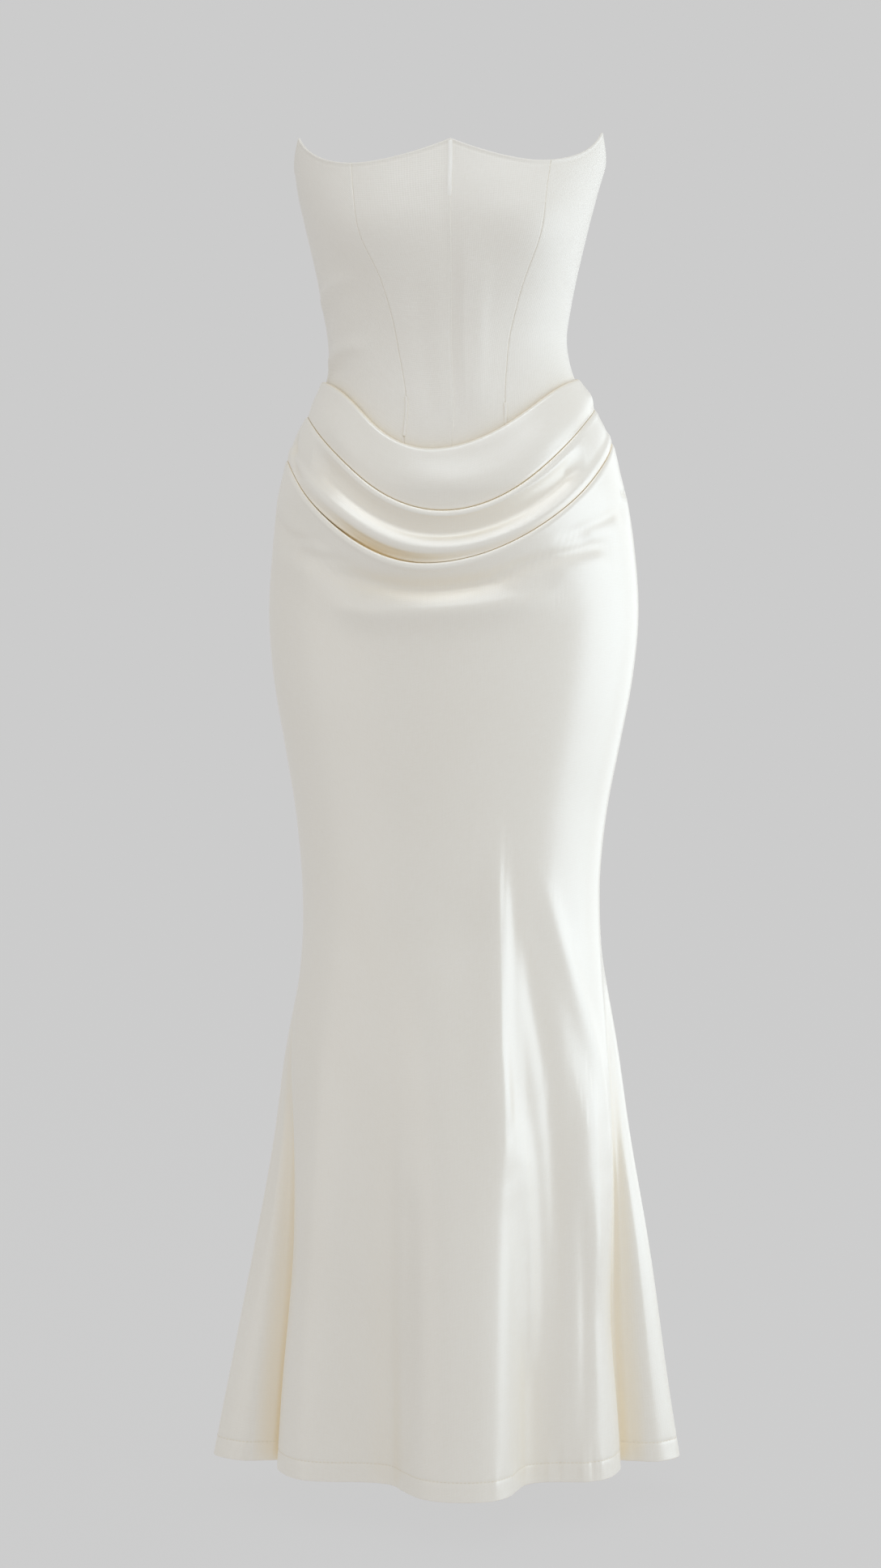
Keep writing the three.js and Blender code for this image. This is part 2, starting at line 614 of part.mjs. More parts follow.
// The tape lies inside the centre back seam, from under the slider down to the zip's end.
function makeZipTape() {
  const { width, wall, steps, clearance } = ZIP.tape;
  const across = [-0.5, 0, 0.5];
  const top = NECK.back - ZIP.notch;
  const place = (i, j) => {
    const z = lerp(ZIP.bottom, top, j / steps);
    const turn = (across[i] * width * 180) / (Math.PI * readTable(FIGURE, 'z', 'half', z));
    const inside = -BODICE_WALL - clearance;
    const at = BACK_SEAM + turn;
    return { outer: onDress(at, z, inside), inner: onDress(at, z, inside - wall) };
  };
  return clothMesh('zip_tape', IVORY_TAPE, across.length, steps + 1, place);
}

const wasm = await Module();
wasm.setup();

function solidOf(geometry) {
  const bare = geometry.clone();
  bare.deleteAttribute('normal');
  bare.deleteAttribute('uv');
  const merged = mergeVertices(bare, 1e-4);
  const vertProperties = new Float32Array(merged.attributes.position.array);
  const triVerts = new Uint32Array(merged.index.array);
  return new wasm.Manifold(new wasm.Mesh({ numProp: 3, vertProperties, triVerts }));
}

function geometryOf(solid) {
  const { vertProperties, triVerts } = solid.getMesh();
  const geometry = new THREE.BufferGeometry();
  geometry.setAttribute('position', new THREE.Float32BufferAttribute(vertProperties, 3));
  geometry.setIndex([...triVerts]);
  geometry.computeVertexNormals();
  return geometry;
}

function rectangleHole(x0, y0, x1, y1) {
  const hole = new THREE.Path();
  hole.moveTo(x0, y0);
  hole.lineTo(x1, y0);
  hole.lineTo(x1, y1);
  hole.lineTo(x0, y1);
  hole.closePath();
  return hole;
}

// Where the slider sits, and the pivot that its pull swings on.
const SLIDER_LEVEL = NECK.back - ZIP.plate.drop;
const CLOTH_AT_SLIDER = onDress(BACK_SEAM, SLIDER_LEVEL, 0);
const CROWN_DEPTH = 2 * ZIP.crown.bar + ZIP.crown.hole.deep;
const PIVOT = new THREE.Vector3(
  CLOTH_AT_SLIDER.x,
  CLOTH_AT_SLIDER.y + ZIP.crown.offCloth + CROWN_DEPTH / 2,
  SLIDER_LEVEL,
);

// The slider: a plate inside the bodice, a web through the seam, and an open crown outside.
// The web is sunk a little into the plate, so that they join.
function makeSlider() {
  const { plate, crown } = ZIP;
  const inside = -BODICE_WALL - crown.offCloth;
  const plateGeometry = new THREE.BoxGeometry(plate.width, plate.depth, plate.height);
  plateGeometry.translate(0, inside - plate.depth / 2, 0);
  const tall = crown.hole.tall + 2 * crown.bar;
  const web = new THREE.BoxGeometry(crown.width, crown.offCloth + crown.bar - inside, tall);
  web.translate(0, (inside + crown.offCloth + crown.bar) / 2 - crown.sunk, 0);
  const outer = new THREE.BoxGeometry(crown.width, CROWN_DEPTH, tall);
  outer.translate(0, crown.offCloth + CROWN_DEPTH / 2, 0);
  const hole = new THREE.BoxGeometry(crown.width * 2, crown.hole.deep, crown.hole.tall);
  hole.translate(0, crown.offCloth + CROWN_DEPTH / 2, 0);
  const solid = solidOf(plateGeometry).add(solidOf(web)).add(solidOf(outer)).subtract(solidOf(hole));
  const mesh = new THREE.Mesh(geometryOf(solid), IVORY_ENAMEL);
  mesh.name = 'zip_slider';
  mesh.position.set(CLOTH_AT_SLIDER.x, CLOTH_AT_SLIDER.y, SLIDER_LEVEL);
  return mesh;
}

// The pull: a flat drop-shaped tab whose cross bar is held in the slider's crown.
function makePull() {
  const { pull } = ZIP;
  const bar = pull.arm / 2;
  const half = pull.window.half + pull.arm;
  const shoulder = -pull.window.long - pull.arm;
  const shape = new THREE.Shape();
  shape.moveTo(-half, bar);
  shape.lineTo(half, bar);
  shape.lineTo(half, shoulder);
  shape.lineTo(pull.neck.half, -pull.neck.drop);
  shape.lineTo(half, half - pull.length);
  shape.absarc(0, half - pull.length, half, 0, -Math.PI, true);
  shape.lineTo(-pull.neck.half, -pull.neck.drop);
  shape.lineTo(-half, shoulder);
  shape.closePath();
  shape.holes.push(rectangleHole(-pull.window.half, -pull.window.long, pull.window.half, -bar));
  const extrusion = { depth: pull.wall, bevelEnabled: false, curveSegments: 8 };
  const geometry = new THREE.ExtrudeGeometry(shape, extrusion);
  geometry.translate(0, 0, -pull.wall / 2);
  geometry.rotateX(Math.PI / 2);
  const mesh = new THREE.Mesh(geometry, IVORY_ENAMEL);
  mesh.name = 'zip_pull';
  mesh.position.copy(PIVOT);
  return mesh;
}

const dress = new THREE.Group();
dress.name = 'strapless_dress';
dress.add(...makeBodice(), ...BONES.map((bone) => boneStrip(bone)), ...makeSkirt());
dress.add(makeZipTape(), makeSlider(), makePull());

export default dress;
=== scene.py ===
# A strapless floor-length dress, filled out as when it is worn, with no wearer in it: a boned
# bodice of matte crepe over a glossy satin skirt with three draped swags across the hips.
# The tables are in millimetres and degrees, and points become metres where a mesh is made.
import math

import bpy
import numpy as np
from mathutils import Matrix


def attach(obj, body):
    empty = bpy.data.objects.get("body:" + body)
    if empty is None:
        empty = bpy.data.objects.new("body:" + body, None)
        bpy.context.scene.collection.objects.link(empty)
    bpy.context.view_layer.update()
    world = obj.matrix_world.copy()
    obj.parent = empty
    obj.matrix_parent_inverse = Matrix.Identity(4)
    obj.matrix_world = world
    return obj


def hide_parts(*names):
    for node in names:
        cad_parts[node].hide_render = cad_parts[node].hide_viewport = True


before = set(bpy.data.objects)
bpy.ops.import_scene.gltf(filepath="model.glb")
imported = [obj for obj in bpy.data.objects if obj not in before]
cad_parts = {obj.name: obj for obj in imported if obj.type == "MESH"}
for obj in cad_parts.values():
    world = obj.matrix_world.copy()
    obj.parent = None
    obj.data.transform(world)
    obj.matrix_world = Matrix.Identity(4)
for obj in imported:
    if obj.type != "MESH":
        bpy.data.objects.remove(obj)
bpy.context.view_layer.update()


def table(columns, rows):
    """Rows of values under named columns."""
    names = columns.split(", ")
    return [dict(zip(names, row)) for row in rows]


# Driving dimensions
METRE = 0.001  # metres in a millimetre
BODICE_WALL = 2.0
SKIRT_WALL = 1.0
SEAM_GAP = 0.06  # the panels are sewn, so they all but touch
SIDE_SEAM = 90
BACK_SEAM = 180
FULL_TURN = 360
BACK_PRINCESS = 136
KNEE = -560
HEM = -1111
FLARE_SOFTNESS = 0.05
WAIST_SEAM_BACK = -36
BODICE_TUCK = 18

# The figure that the dress was cut for: half width, middle, and stand of front and back
FIGURE = table("z, half, mid, front, back", [
    (205, 151.7, 0.0, 88, 84),
    (175, 151.4, -0.5, 94, 86),
    (148, 146.3, -2.5, 99, 87),
    (116, 138.5, -3.2, 101, 86),
    (69, 127.6, -3.3, 94, 81),
    (38, 121.8, -3.6, 88, 77),
    (6, 117.1, -2.9, 84, 74),
    (-26, 119.8, 0.0, 85, 78),
    (-57, 131.5, 2.5, 90, 90),
    (-88, 147.5, 2.2, 95, 104),
    (-120, 158.5, 2.7, 99, 115),
    (-152, 170.0, 2.8, 102, 122),
    (-200, 178.3, 3.5, 104, 127),
    (-263, 182.2, 3.6, 104, 128),
    (-327, 177.0, 3.0, 102, 124),
    (-392, 165.6, 2.2, 99, 116),
    (-456, 154.4, 1.2, 96, 108),
    (-521, 148.0, 0.8, 94, 102),
    (-586, 146.8, 1.4, 93, 99),
])
CUP = {"at": 36, "z": 112, "stand": 13, "spread": 25, "height": 50}

# The front seams of the bodice: degrees round the figure at each level
FRONT_SEAMS = table("z, centre, left, right", [
    (215, -0.4, -37.8, 38.8),
    (175, 0.0, -37.9, 38.9),
    (140, 0.6, -36.3, 38.2),
    (101, 1.1, -34.7, 37.6),
    (62, 1.5, -29.5, 34.9),
    (23, 1.7, -25.8, 32.2),
    (-17, 0.8, -23.4, 27.8),
    (-57, 0.0, -19.9, 22.3),
    (-100, -0.5, -18.0, 20.0),
    (-140, -0.5, -17.0, 19.0),
])
NECK = {
    "peak": 194,
    "left": {"low": 171.7, "low_at": 36, "tip": 200, "tip_at": 75.7},
    "right": {"low": 174.3, "low_at": 33, "tip": 205.5, "tip_at": 76.3},
    "from_peak": 1.75,
    "to_tip": 1.9,
    "tip_fall": 1.4,
    "underarm": 165,
    "underarm_at": 96,
    "back": 158,
}

# The swags' folded rims, and the soft fold along the second swag
RIMS = table("left, right, low, low_at, wide_left, wide_right, stand, side", [
    (-34, -31, -99.5, -8, 36, 44, 8.5, 5.2),
    (-64, -58, -158.5, -3.5, 46, 48, 10.5, 6.4),
    (-100, -80, -208.5, -9, 50, 62, 12.5, 7.2),
])
SOFT_FOLD = table("at, down", [
    (-90, 0.72), (-64, 0.76), (-40, 0.65), (-18, 0.67), (6, 0.73), (28, 0.82), (50, 0.82),
    (90, 0.7),
])
STAND_SPREAD = 60
SEWN_FLAT = {"share": 0.4, "wide": 7}  # the folds are pressed flat where a side seam takes them in
RIM_TURN = {"side": 1.3, "middle": 2.0}
RIM_TALL = 2.4  # how much taller than deep the outer half of a rim's turn is
POCKET = {"turn": 0.5, "face": 1.7, "side": 8, "middle": 17, "gap": 0.35, "above": 0.35, "lip": 1.15}
POCKET_ROOM = 0.4
OPEN_POCKET = {"at": -25, "left": 20, "right": 25, "gap": 4.8, "deep": 5}  # over the lowest rim
FIRST_RIM = {"inside": 1.2, "turned_in": 16}
FIRST_FACE = [  # down, and the stand by the side seams and in the middle
    (0.24, 5.6, 9.8), (0.42, 6.2, 11.2), (0.58, 6.5, 11.9), (0.73, 6.3, 11.4), (0.85, 5.7, 10.0),
    (0.94, 5.2, 8.8),
]
SECOND_UPPER = [(0.2, 0.82), (0.42, 0.36), (0.66, 0.22), (0.87, 0.82)]  # down to the soft fold, out
HOLLOW = {"left": -58, "right": 52, "fade": 11, "flat": 0.97}  # where the hollow above it ends
SECOND_LOWER = [  # down from the soft fold, and the stand by the seams, in the middle and where open
    (0.08, 7.4, 12.2, 11.6), (0.4, 7.2, 12.0, 10.3), (0.58, 7.0, 11.5, 7.2), (0.84, 6.5, 10.6, 4.6),
]
LOWER_FACE = [  # down, and the share of the rim's stand by the side seams and in the middle
    (9, 0.95, 0.84), (18, 0.85, 0.6), (27, 0.7, 0.42), (38, 0.5, 0.38),
    (52, 0.3, 0.25), (74, 0.12, 0.12), (104, 0.0, 0.0),
]

# The hem: the place on the figure from which each fold falls, and where it ends
HEM_FOLDS = table("fold, at, x, y", [
    ("left seam", -90, -165, -17),
    ("left ridge", -84, -172.9, -41),
    ("left ridge front", -76, -165.2, -66),
    ("left corner", -66, -148.4, -85),
    ("left flat", -54, -124.3, -91.6),
    ("left hollow", -38, -85, -93.5),
    ("middle flute, left foot", -26, -58, -103),
    ("middle flute, left side", -18, -45.8, -125),
    ("middle flute, left crest", -10, -30, -148),
    ("middle flute, front", -3, -11, -159),
    ("middle flute, crest", 4, 11, -162.3),
    ("middle flute, right front", 12, 35, -159.6),
    ("middle flute, right crest", 19, 54.6, -146.5),
    ("middle flute, right side", 25, 66.2, -121),
    ("middle flute, right foot", 30, 74, -103),
    ("right hollow", 38, 91, -94),
    ("right flat", 50, 115, -93),
    ("right corner", 62, 138.5, -92),
    ("right ridge front", 73, 159, -77),
    ("right ridge", 82, 170, -48),
    ("right seam", 90, 168, -20),
    ("right flute root", 95, 182, -20),
    ("right flute face", 102, 210, -22),
    ("right flute tip", 111, 231.5, -1),
    ("right flute back", 121, 218, 40),
    ("right back hollow", 132, 172, 80),
    ("right back crest", 146, 146, 140),
    ("back hollow, right", 163, 74, 147),
    ("back crest", 180, 2, 184),
    ("back hollow, left", 198, -79, 150),
    ("left back crest", 214, -149, 137),
    ("left back hollow", 228, -173, 78),
    ("left flute back", 239, -223, 42),
    ("left flute tip", 249, -239, 5),
    ("left flute face", 258, -212, -18),
    ("left flute root", 265, -180, -18),
])
BENDS = table("bend, at, spread, z, reach, x", [
    ("left ridge, above", -84, 11, -690, 75, -6),
    ("left ridge, below", -84, 11, -900, 100, 5),
    ("right ridge, above", 82, 11, -770, 110, 4),
    ("right ridge, below", 82, 11, -960, 80, -5),
    ("left flute", -112, 20, -690, 80, -6),
    ("right flute, above", 112, 22, -680, 100, 8),
    ("right flute, below", 112, 22, -880, 140, 7),
    ("left seam over the pleats", -96, 11, -115, 52, -3),
    ("right seam over the pleats", 96, 11, -110, 52, 3),
    ("right end of the first rim", 88, 9, -47, 9, 4),
])

# Creases laid on the cloth, each along its own path of places and levels. Height is how far
# it stands out, or sinks in where negative. Above and below are how wide its two flanks are.
SKIRT_CREASES = table("height, above, below, path", [
    (5.4, 10, 16, [(-48, -240), (-32, -252), (-16, -256), (4, -253), (20, -246), (38, -238)]),
    (-6.0, 11, 10, [(-54, -206), (-36, -222), (-20, -231), (-4, -232), (12, -225), (28, -213)]),
    (-3.4, 7, 12, [(6, -222), (20, -211), (36, -202), (52, -194), (68, -190)]),
    (1.8, 9, 14, [(26, -218), (42, -208), (58, -202)]),
    (-2.6, 7, 12, [(30, -190), (44, -178), (58, -167), (72, -158), (84, -151)]),
    (1.6, 7, 10, [(42, -184), (56, -175), (72, -166)]),
    (-2.4, 3, 4, [(72, -142), (80, -144), (90, -140)]),
    (-2.4, 7, 4, [(-81, -80), (-75, -104), (-67, -121), (-55, -133)]),
    (2.1, 17, 9, [(-26, -124), (-8, -133), (10, -134), (28, -123), (44, -103), (62, -79)]),
    (-1.7, 4, 10, [(-84, -160), (-73, -172), (-60, -184), (-42, -188)]),
    (-1.6, 5, 9, [(-62, -196), (-48, -203), (-30, -210)]),
    (1.2, 10, 14, [(-80, -196), (-62, -212), (-44, -224)]),
])
# Long soft folds of the lower skirt
FALL_CREASES = table("height, above, below, path", [
    (6.2, 9.5, 26, [(16, -440), (18, -520), (18.5, -600), (18.5, -680), (20, -760), (22, -860)]),
    (4.2, 11, 12, [(25, -720), (29, -820), (31, -920), (31, -1020)]),
    (5.0, 12, 30, [(64, -690), (66, -780), (67, -860), (67, -960)]),
    (-2.8, 20, 12, [(28.5, -530), (32, -620), (40, -720), (45, -860), (44, -1060)]),
    (-3.6, 14, 12, [(58, -800), (60, -900), (60, -1000), (58, -1111)]),
    (3.8, 12, 18, [(36, -490), (44, -560), (55, -620), (71, -700), (76, -800), (76, -930)]),
    (-1.8, 16, 12, [(-16, -800), (-16, -900), (-16, -1111)]),
    (1.2, 26, 22, [(-60, -640), (-58, -800), (-60, -960)]),
])

ZIP = {"bottom": -210, "tape": 22, "clearance": 0.6, "tape_wall": 0.8, "notch": 14,
       "notch_half": 0.95, "slope": 2.5}


# Curves and outlines, worked out for whole arrays of places and levels

def hermite(t, start, start_slope, end, end_slope):
    """A smooth stretch between two values with given slopes, at shares of its length."""
    return (
        (2 * t**3 - 3 * t**2 + 1) * start
        + (t**3 - 2 * t**2 + t) * start_slope
        + (3 * t**2 - 2 * t**3) * end
        + (t**3 - t**2) * end_slope
    )


def read_table(rows, key, column, at):
    """A smooth curve through a table's rows, read at an array of places. It is level past its ends."""
    keys = np.array([row[key] for row in rows], float)
    values = np.array([row[column] for row in rows], float)
    if keys[0] > keys[-1]:
        keys, values = keys[::-1], values[::-1]
    last = len(keys) - 1
    before = np.maximum(np.arange(last + 1) - 1, 0)
    after = np.minimum(np.arange(last + 1) + 1, last)
    slopes = (values[after] - values[before]) / (keys[after] - keys[before])
    place = np.clip(at, keys[0], keys[-1])
    i = np.clip(np.searchsorted(keys, place) - 1, 0, last - 1)
    span = keys[i + 1] - keys[i]
    t = (place - keys[i]) / span
    return hermite(t, values[i], span * slopes[i], values[i + 1], span * slopes[i + 1])


HEM_ROUND = (
    [{**row, "at": row["at"] - FULL_TURN} for row in HEM_FOLDS[-2:]]
    + HEM_FOLDS
    + [{**row, "at": row["at"] + FULL_TURN} for row in HEM_FOLDS[:2]]
)


def bell(distance, spread):
    return np.exp(-((distance / spread) ** 2))


def lerp(a, b, share):
    return a + (b - a) * share


def apart(a, b):
    turn = np.abs(a - b) % FULL_TURN
    return np.minimum(turn, FULL_TURN - turn)


def from_left_seam(at):
    """Places counted on from the left seam, as the hem's tables count them."""
    return np.where(at < -SIDE_SEAM, at + FULL_TURN, at)


def from_front(at):
    """Places counted both ways from the centre front, as the crease tables count them."""
    return np.where(at > BACK_SEAM, at - FULL_TURN, at)


def degree_width(z):
    """How many millimetres one degree takes round the figure, at each level."""
    return np.radians(read_table(FIGURE, "z", "half", z))


def flare(z):
    """How much of the hem's flare has developed, from 0 at the knee to 1 at the hem."""
    q = np.clip((KNEE - z) / (KNEE - HEM), 0, 1)
    return q * q * (1 + FLARE_SOFTNESS) / (q + FLARE_SOFTNESS)


def outline(at, z):
    """The dress's outer line: x and y at places on the figure and levels."""
    half, mid, front, back = (
        read_table(FIGURE, "z", column, z) for column in ("half", "mid", "front", "back")
    )
    turn = np.radians(at)
    depth = np.where(np.cos(turn) > 0, front, back)
    hem_x, hem_y = (read_table(HEM_ROUND, "at", column, from_left_seam(at)) for column in ("x", "y"))
    x = lerp(mid + half * np.sin(turn), hem_x, flare(z))
    y = lerp(-depth * np.cos(turn), hem_y, flare(z))
    for bend in BENDS:
        near = bell(apart(at, bend["at"]), bend["spread"]) * bell(z - bend["z"], bend["reach"])
        x = x + bend["x"] * near
    return x, y


PROBE = 0.4  # degrees between the two points that give a direction


def on_dress(at, z, stand, shift=0.0):
    """Points that stand off the outline, moved along it, as an array of x, y and z."""
    at, z, stand, shift = np.broadcast_arrays(at, z, stand, shift)
    x, y = outline(at, z)
    x0, y0 = outline(at - PROBE, z)
    x1, y1 = outline(at + PROBE, z)
    run = np.hypot(x1 - x0, y1 - y0)
    along_x, along_y = (x1 - x0) / run, (y1 - y0) / run
    x = x + along_y * stand + along_x * shift
    y = y - along_x * stand + along_y * shift
    return np.stack([x, y, z], -1)


def smooth_path(points, count):
    """Count places evenly along a smooth curve through a few points."""
    rows = [{"t": i, "a": a, "b": b} for i, (a, b) in enumerate(points)]
    t = np.linspace(0, len(points) - 1, count)
    return read_table(rows, "t", "a", t), read_table(rows, "t", "b", t)


CREASE_STEPS = 48
CREASE_TAPER = 0.3  # the share of its length over which a crease fades at either end


def creases(rows, at, z):
    """How far the creases move the cloth out, at places and levels."""
    total = np.zeros(np.broadcast(at, z).shape)
    around = degree_width(z)
    for row in rows:
        path_at, path_z = smooth_path(row["path"], CREASE_STEPS)
        nearest = np.full(total.shape, np.inf)
        side = np.zeros(total.shape)
        share = np.zeros(total.shape)
        for step in range(CREASE_STEPS):
            across = (at - path_at[step]) * around
            up = z - path_z[step]
            gap = np.hypot(across, up)
            ahead = min(step + 1, CREASE_STEPS - 1)
            behind = max(step - 1, 0)
            run_x = (path_at[ahead] - path_at[behind]) * around
            run_z = path_z[ahead] - path_z[behind]
            closer = gap < nearest
            nearest = np.where(closer, gap, nearest)
            side = np.where(closer, run_x * up - run_z * across, side)
            share = np.where(closer, step / (CREASE_STEPS - 1), share)
        ends = np.clip(np.minimum(share, 1 - share) / CREASE_TAPER, 0, 1)
        fade = ends * ends * (3 - 2 * ends)
        width = np.where(side > 0, row["above"], row["below"])
        total += row["height"] * fade * bell(nearest, width)
    return total


# Meshes

def mesh_object(name, points, faces, places=None, smooth_under=50):
    """An object from points in millimetres. Places are its UVs, in metres on the cloth."""
    mesh = bpy.data.meshes.new(name)
    mesh.from_pydata((np.asarray(points) * METRE).tolist(), [], faces)
    mesh.validate()
    mesh.update()
    mesh.polygons.foreach_set("use_smooth", np.ones(len(mesh.polygons), bool))
    mesh.set_sharp_from_angle(angle=math.radians(smooth_under))
    if places is not None:
        corners = np.zeros(len(mesh.loops), np.int32)
        mesh.loops.foreach_get("vertex_index", corners)
        layer = mesh.uv_layers.new(name="cloth")
        layer.uv.foreach_set("vector", (np.asarray(places)[corners] * METRE).astype(np.float32).ravel())
    obj = bpy.data.objects.new(name, mesh)
    bpy.context.scene.collection.objects.link(obj)
    return obj


def grid_quads(start, columns, rows):
    i, j = np.meshgrid(np.arange(columns - 1), np.arange(rows - 1), indexing="ij")
    a = start + i * rows + j
    return np.stack([a, a + rows, a + rows + 1, a + 1], -1).reshape(-1, 4)


def border(columns, rows):
    """The grid's edge points in order, once round."""
    last = columns - 1
    low = [i * rows for i in range(columns)]
    right = [last * rows + j for j in range(1, rows)]
    high = [i * rows + rows - 1 for i in range(last - 1, -1, -1)]
    left = [j for j in range(rows - 2, 0, -1)]
    return low + right + high + left


def signed_volume(points, quads):
    a, b, c, d = (points[quads[:, k]] for k in range(4))
    return np.einsum("ij,ij->i", a, np.cross(b, c) + np.cross(c, d)).sum()


def cloth_shell(name, outer, inner, step=1):
    """A closed shell from its right side's grid and its wrong side's, which may be coarser."""
    places = cloth_places(outer)
    columns, rows = outer.shape[:2]
    inner = inner[::step, ::step]
    few_columns, few_rows = inner.shape[:2]
    start = columns * rows
    points = np.concatenate([outer.reshape(-1, 3), inner.reshape(-1, 3)])
    uvs = np.concatenate([places.reshape(-1, 2), places[::step, ::step].reshape(-1, 2)])
    quads = np.concatenate(
        [grid_quads(0, columns, rows), grid_quads(start, few_columns, few_rows)[:, ::-1]]
    )
    fine = border(columns, rows)
    coarse = [start + k for k in border(few_columns, few_rows)]
    edges = []
    for k in range(len(coarse)):
        a, b = coarse[k], coarse[(k + 1) % len(coarse)]
        chain = [fine[(k * step + m) % len(fine)] for m in range(step + 1)]
        if step == 1:
            edges.append((chain[1], chain[0], a, b))
        else:
            edges += [(chain[1], chain[0], a), (chain[2], chain[1], b), (chain[1], a, b)]
    faces = quads.tolist() + edges
    if signed_volume(points, quads) < 0:
        faces = [face[::-1] for face in faces]
    return mesh_object(name, points, faces, uvs)


def cloth_places(points):
    """Where each point of a grid lies on the flat cloth, from the distances along the grid."""
    across = np.linalg.norm(np.diff(points, axis=0), axis=2)
    along = np.linalg.norm(np.diff(points, axis=1), axis=2)
    middle_row = points.shape[1] // 2
    u = np.concatenate([[0], np.cumsum(across[:, middle_row])])
    v = np.concatenate([np.zeros((points.shape[0], 1)), np.cumsum(along, axis=1)], axis=1)
    return np.stack([np.broadcast_to(u[:, None], v.shape), v], -1)


def crowded(count, crowding):
    """Shares from 0 to 1 that lie closest together at both ends."""
    t = np.linspace(0, 1, count)
    return t - crowding * np.sin(2 * math.pi * t) / (2 * math.pi)


def tube_faces(start, sides, rings):
    """A closed tube's faces, where its rings of points follow each other from start on."""
    faces = []
    for ring in range(rings - 1):
        for side in range(sides):
            a = start + ring * sides + side
            b = start + ring * sides + (side + 1) % sides
            faces.append((a, b, b + sides, a + sides))
    last = start + (rings - 1) * sides
    faces.append(tuple(start + side for side in reversed(range(sides))))
    faces.append(tuple(last + side for side in range(sides)))
    return faces


# Bodice

def neckline(at):
    """The level of the top edge, at places on the figure."""
    away = np.abs(at)
    low, low_at, tip, tip_at = (
        np.where(at < 0, NECK["left"][name], NECK["right"][name])
        for name in ("low", "low_at", "tip", "tip_at")
    )
    underarm, underarm_at = NECK["underarm"], NECK["underarm_at"]
    near = np.clip(1 - away / low_at, 0, 1)
    rise = np.clip((away - low_at) / (tip_at - low_at), 0, 1)
    fall = np.clip((away - tip_at) / (underarm_at - tip_at), 0, 1)
    share = np.clip((away - underarm_at) / (BACK_SEAM - underarm_at), 0, 1)
    scoop = low + (NECK["peak"] - low) * near ** NECK["from_peak"]
    to_tip = low + (tip - low) * rise ** NECK["to_tip"]
    after_tip = underarm + (tip - underarm) * (1 - fall) ** NECK["tip_fall"]
    back = NECK["back"] + (underarm - NECK["back"]) * np.cos(share * math.pi / 2) ** 2
    stretches = [away <= low_at, away <= tip_at, away <= underarm_at]
    return np.select(stretches, [scoop, to_tip, after_tip], back)


def rim_level(rim, at):
    """The level of a swag's rim, which hangs lowest near its middle."""
    spread = np.where(at < rim["low_at"], rim["wide_left"], rim["wide_right"])
    share = (np.clip(at, -SIDE_SEAM, SIDE_SEAM) + SIDE_SEAM) / (2 * SIDE_SEAM)
    end = lerp(rim["left"], rim["right"], share)
    return end + (rim["low"] - end) * bell(at - rim["low_at"], spread)


def tucked_in(at):
    return rim_level(RIMS[0], at) - BODICE_TUCK


def sewn_back(at):
    return np.full(np.shape(at), WAIST_SEAM_BACK + SEAM_GAP, float)


def cup_stand(at, z):
    beside = bell(np.abs(at) - CUP["at"], CUP["spread"])
    return CUP["stand"] * beside * bell(z - CUP["z"], CUP["height"])


# The boned panels' own soft creases, and the folds that the bones press in
BODICE_CREASES = table("height, above, below, path", [
    (3.2, 8, 7, [(-88, 30), (-74, 46), (-58, 57), (-40, 63)]),
    (-1.8, 8, 9, [(-88, 14), (-74, 28), (-56, 36)]),
    (3.0, 8, 6, [(-90, -24), (-74, -11), (-56, -3), (-38, -2)]),
    (-1.6, 7, 8, [(-88, -38), (-72, -26), (-52, -21)]),
    (3.0, 26, 20, [(9, 120), (8, 70), (7, 20), (6, -30), (6, -90)]),
    (1.0, 7, 8, [(15, 90), (15.5, 40), (15, -4), (12, -44), (9, -84)]),
    (0.9, 7, 9, [(88, 52), (76, 60), (62, 64)]),
    (-0.7, 8, 8, [(86, 0), (72, 8), (56, 10)]),
    (-0.7, 9, 9, [(-14, 90), (-13, 30), (-11, -40), (-9, -80)]),
    (1.0, 8, 8, [(98, 30), (112, 42), (126, 46)]),
    (1.1, 8, 9, [(-98, 24), (-112, 38), (-128, 42)]),
    (0.9, 7, 8, [(146, -8), (158, 0), (172, 2)]),
    (0.8, 7, 8, [(-144, 4), (-158, 10), (-172, 8)]),
])
ROLL = {"radius": 1.0, "proud": 0.55, "proud_down": 1.1, "proud_wide": 1.375,
        "groove": 0.12, "groove_down": 4.6, "groove_wide": 0.9}
SEAM_DIP = {"deep": 0.5, "wide": 0.45, "ridge": 0.07, "ridge_from": 2.2, "ridge_wide": 1.2}
WELT = {"high": 0.6, "left": 5.0, "right": 0.55}  # the centre front seam is pressed to its left
NECK_DROPS = [14, 11, 8.6, 7, 6, 5.3, 4.9, 4.6, 4.3, 3.9, 3.3, 2.6, 2.0, 1.5, 1.1, 0.8, 0.5, 0.3,
              0.12, 0]  # the rows of points under the neck edge
BODICE_EVEN_ROWS = 58
NECK_ROUNDS = 8  # rounds in which the rows settle under the curved neckline
SEAM_CALM = 12  # the width beside a seam over which the creases fade
PANEL_COLUMNS = 60
TIP_COLUMNS = {"inner": 46, "outer": 24}
PANEL_CROWDING = 0.93


def cap_stand(drop, radius):
    """How far a rounded edge falls back from the face, close under its top."""
    from_middle = radius - np.clip(drop, 0, radius)
    return np.sqrt(radius**2 - from_middle**2) - radius


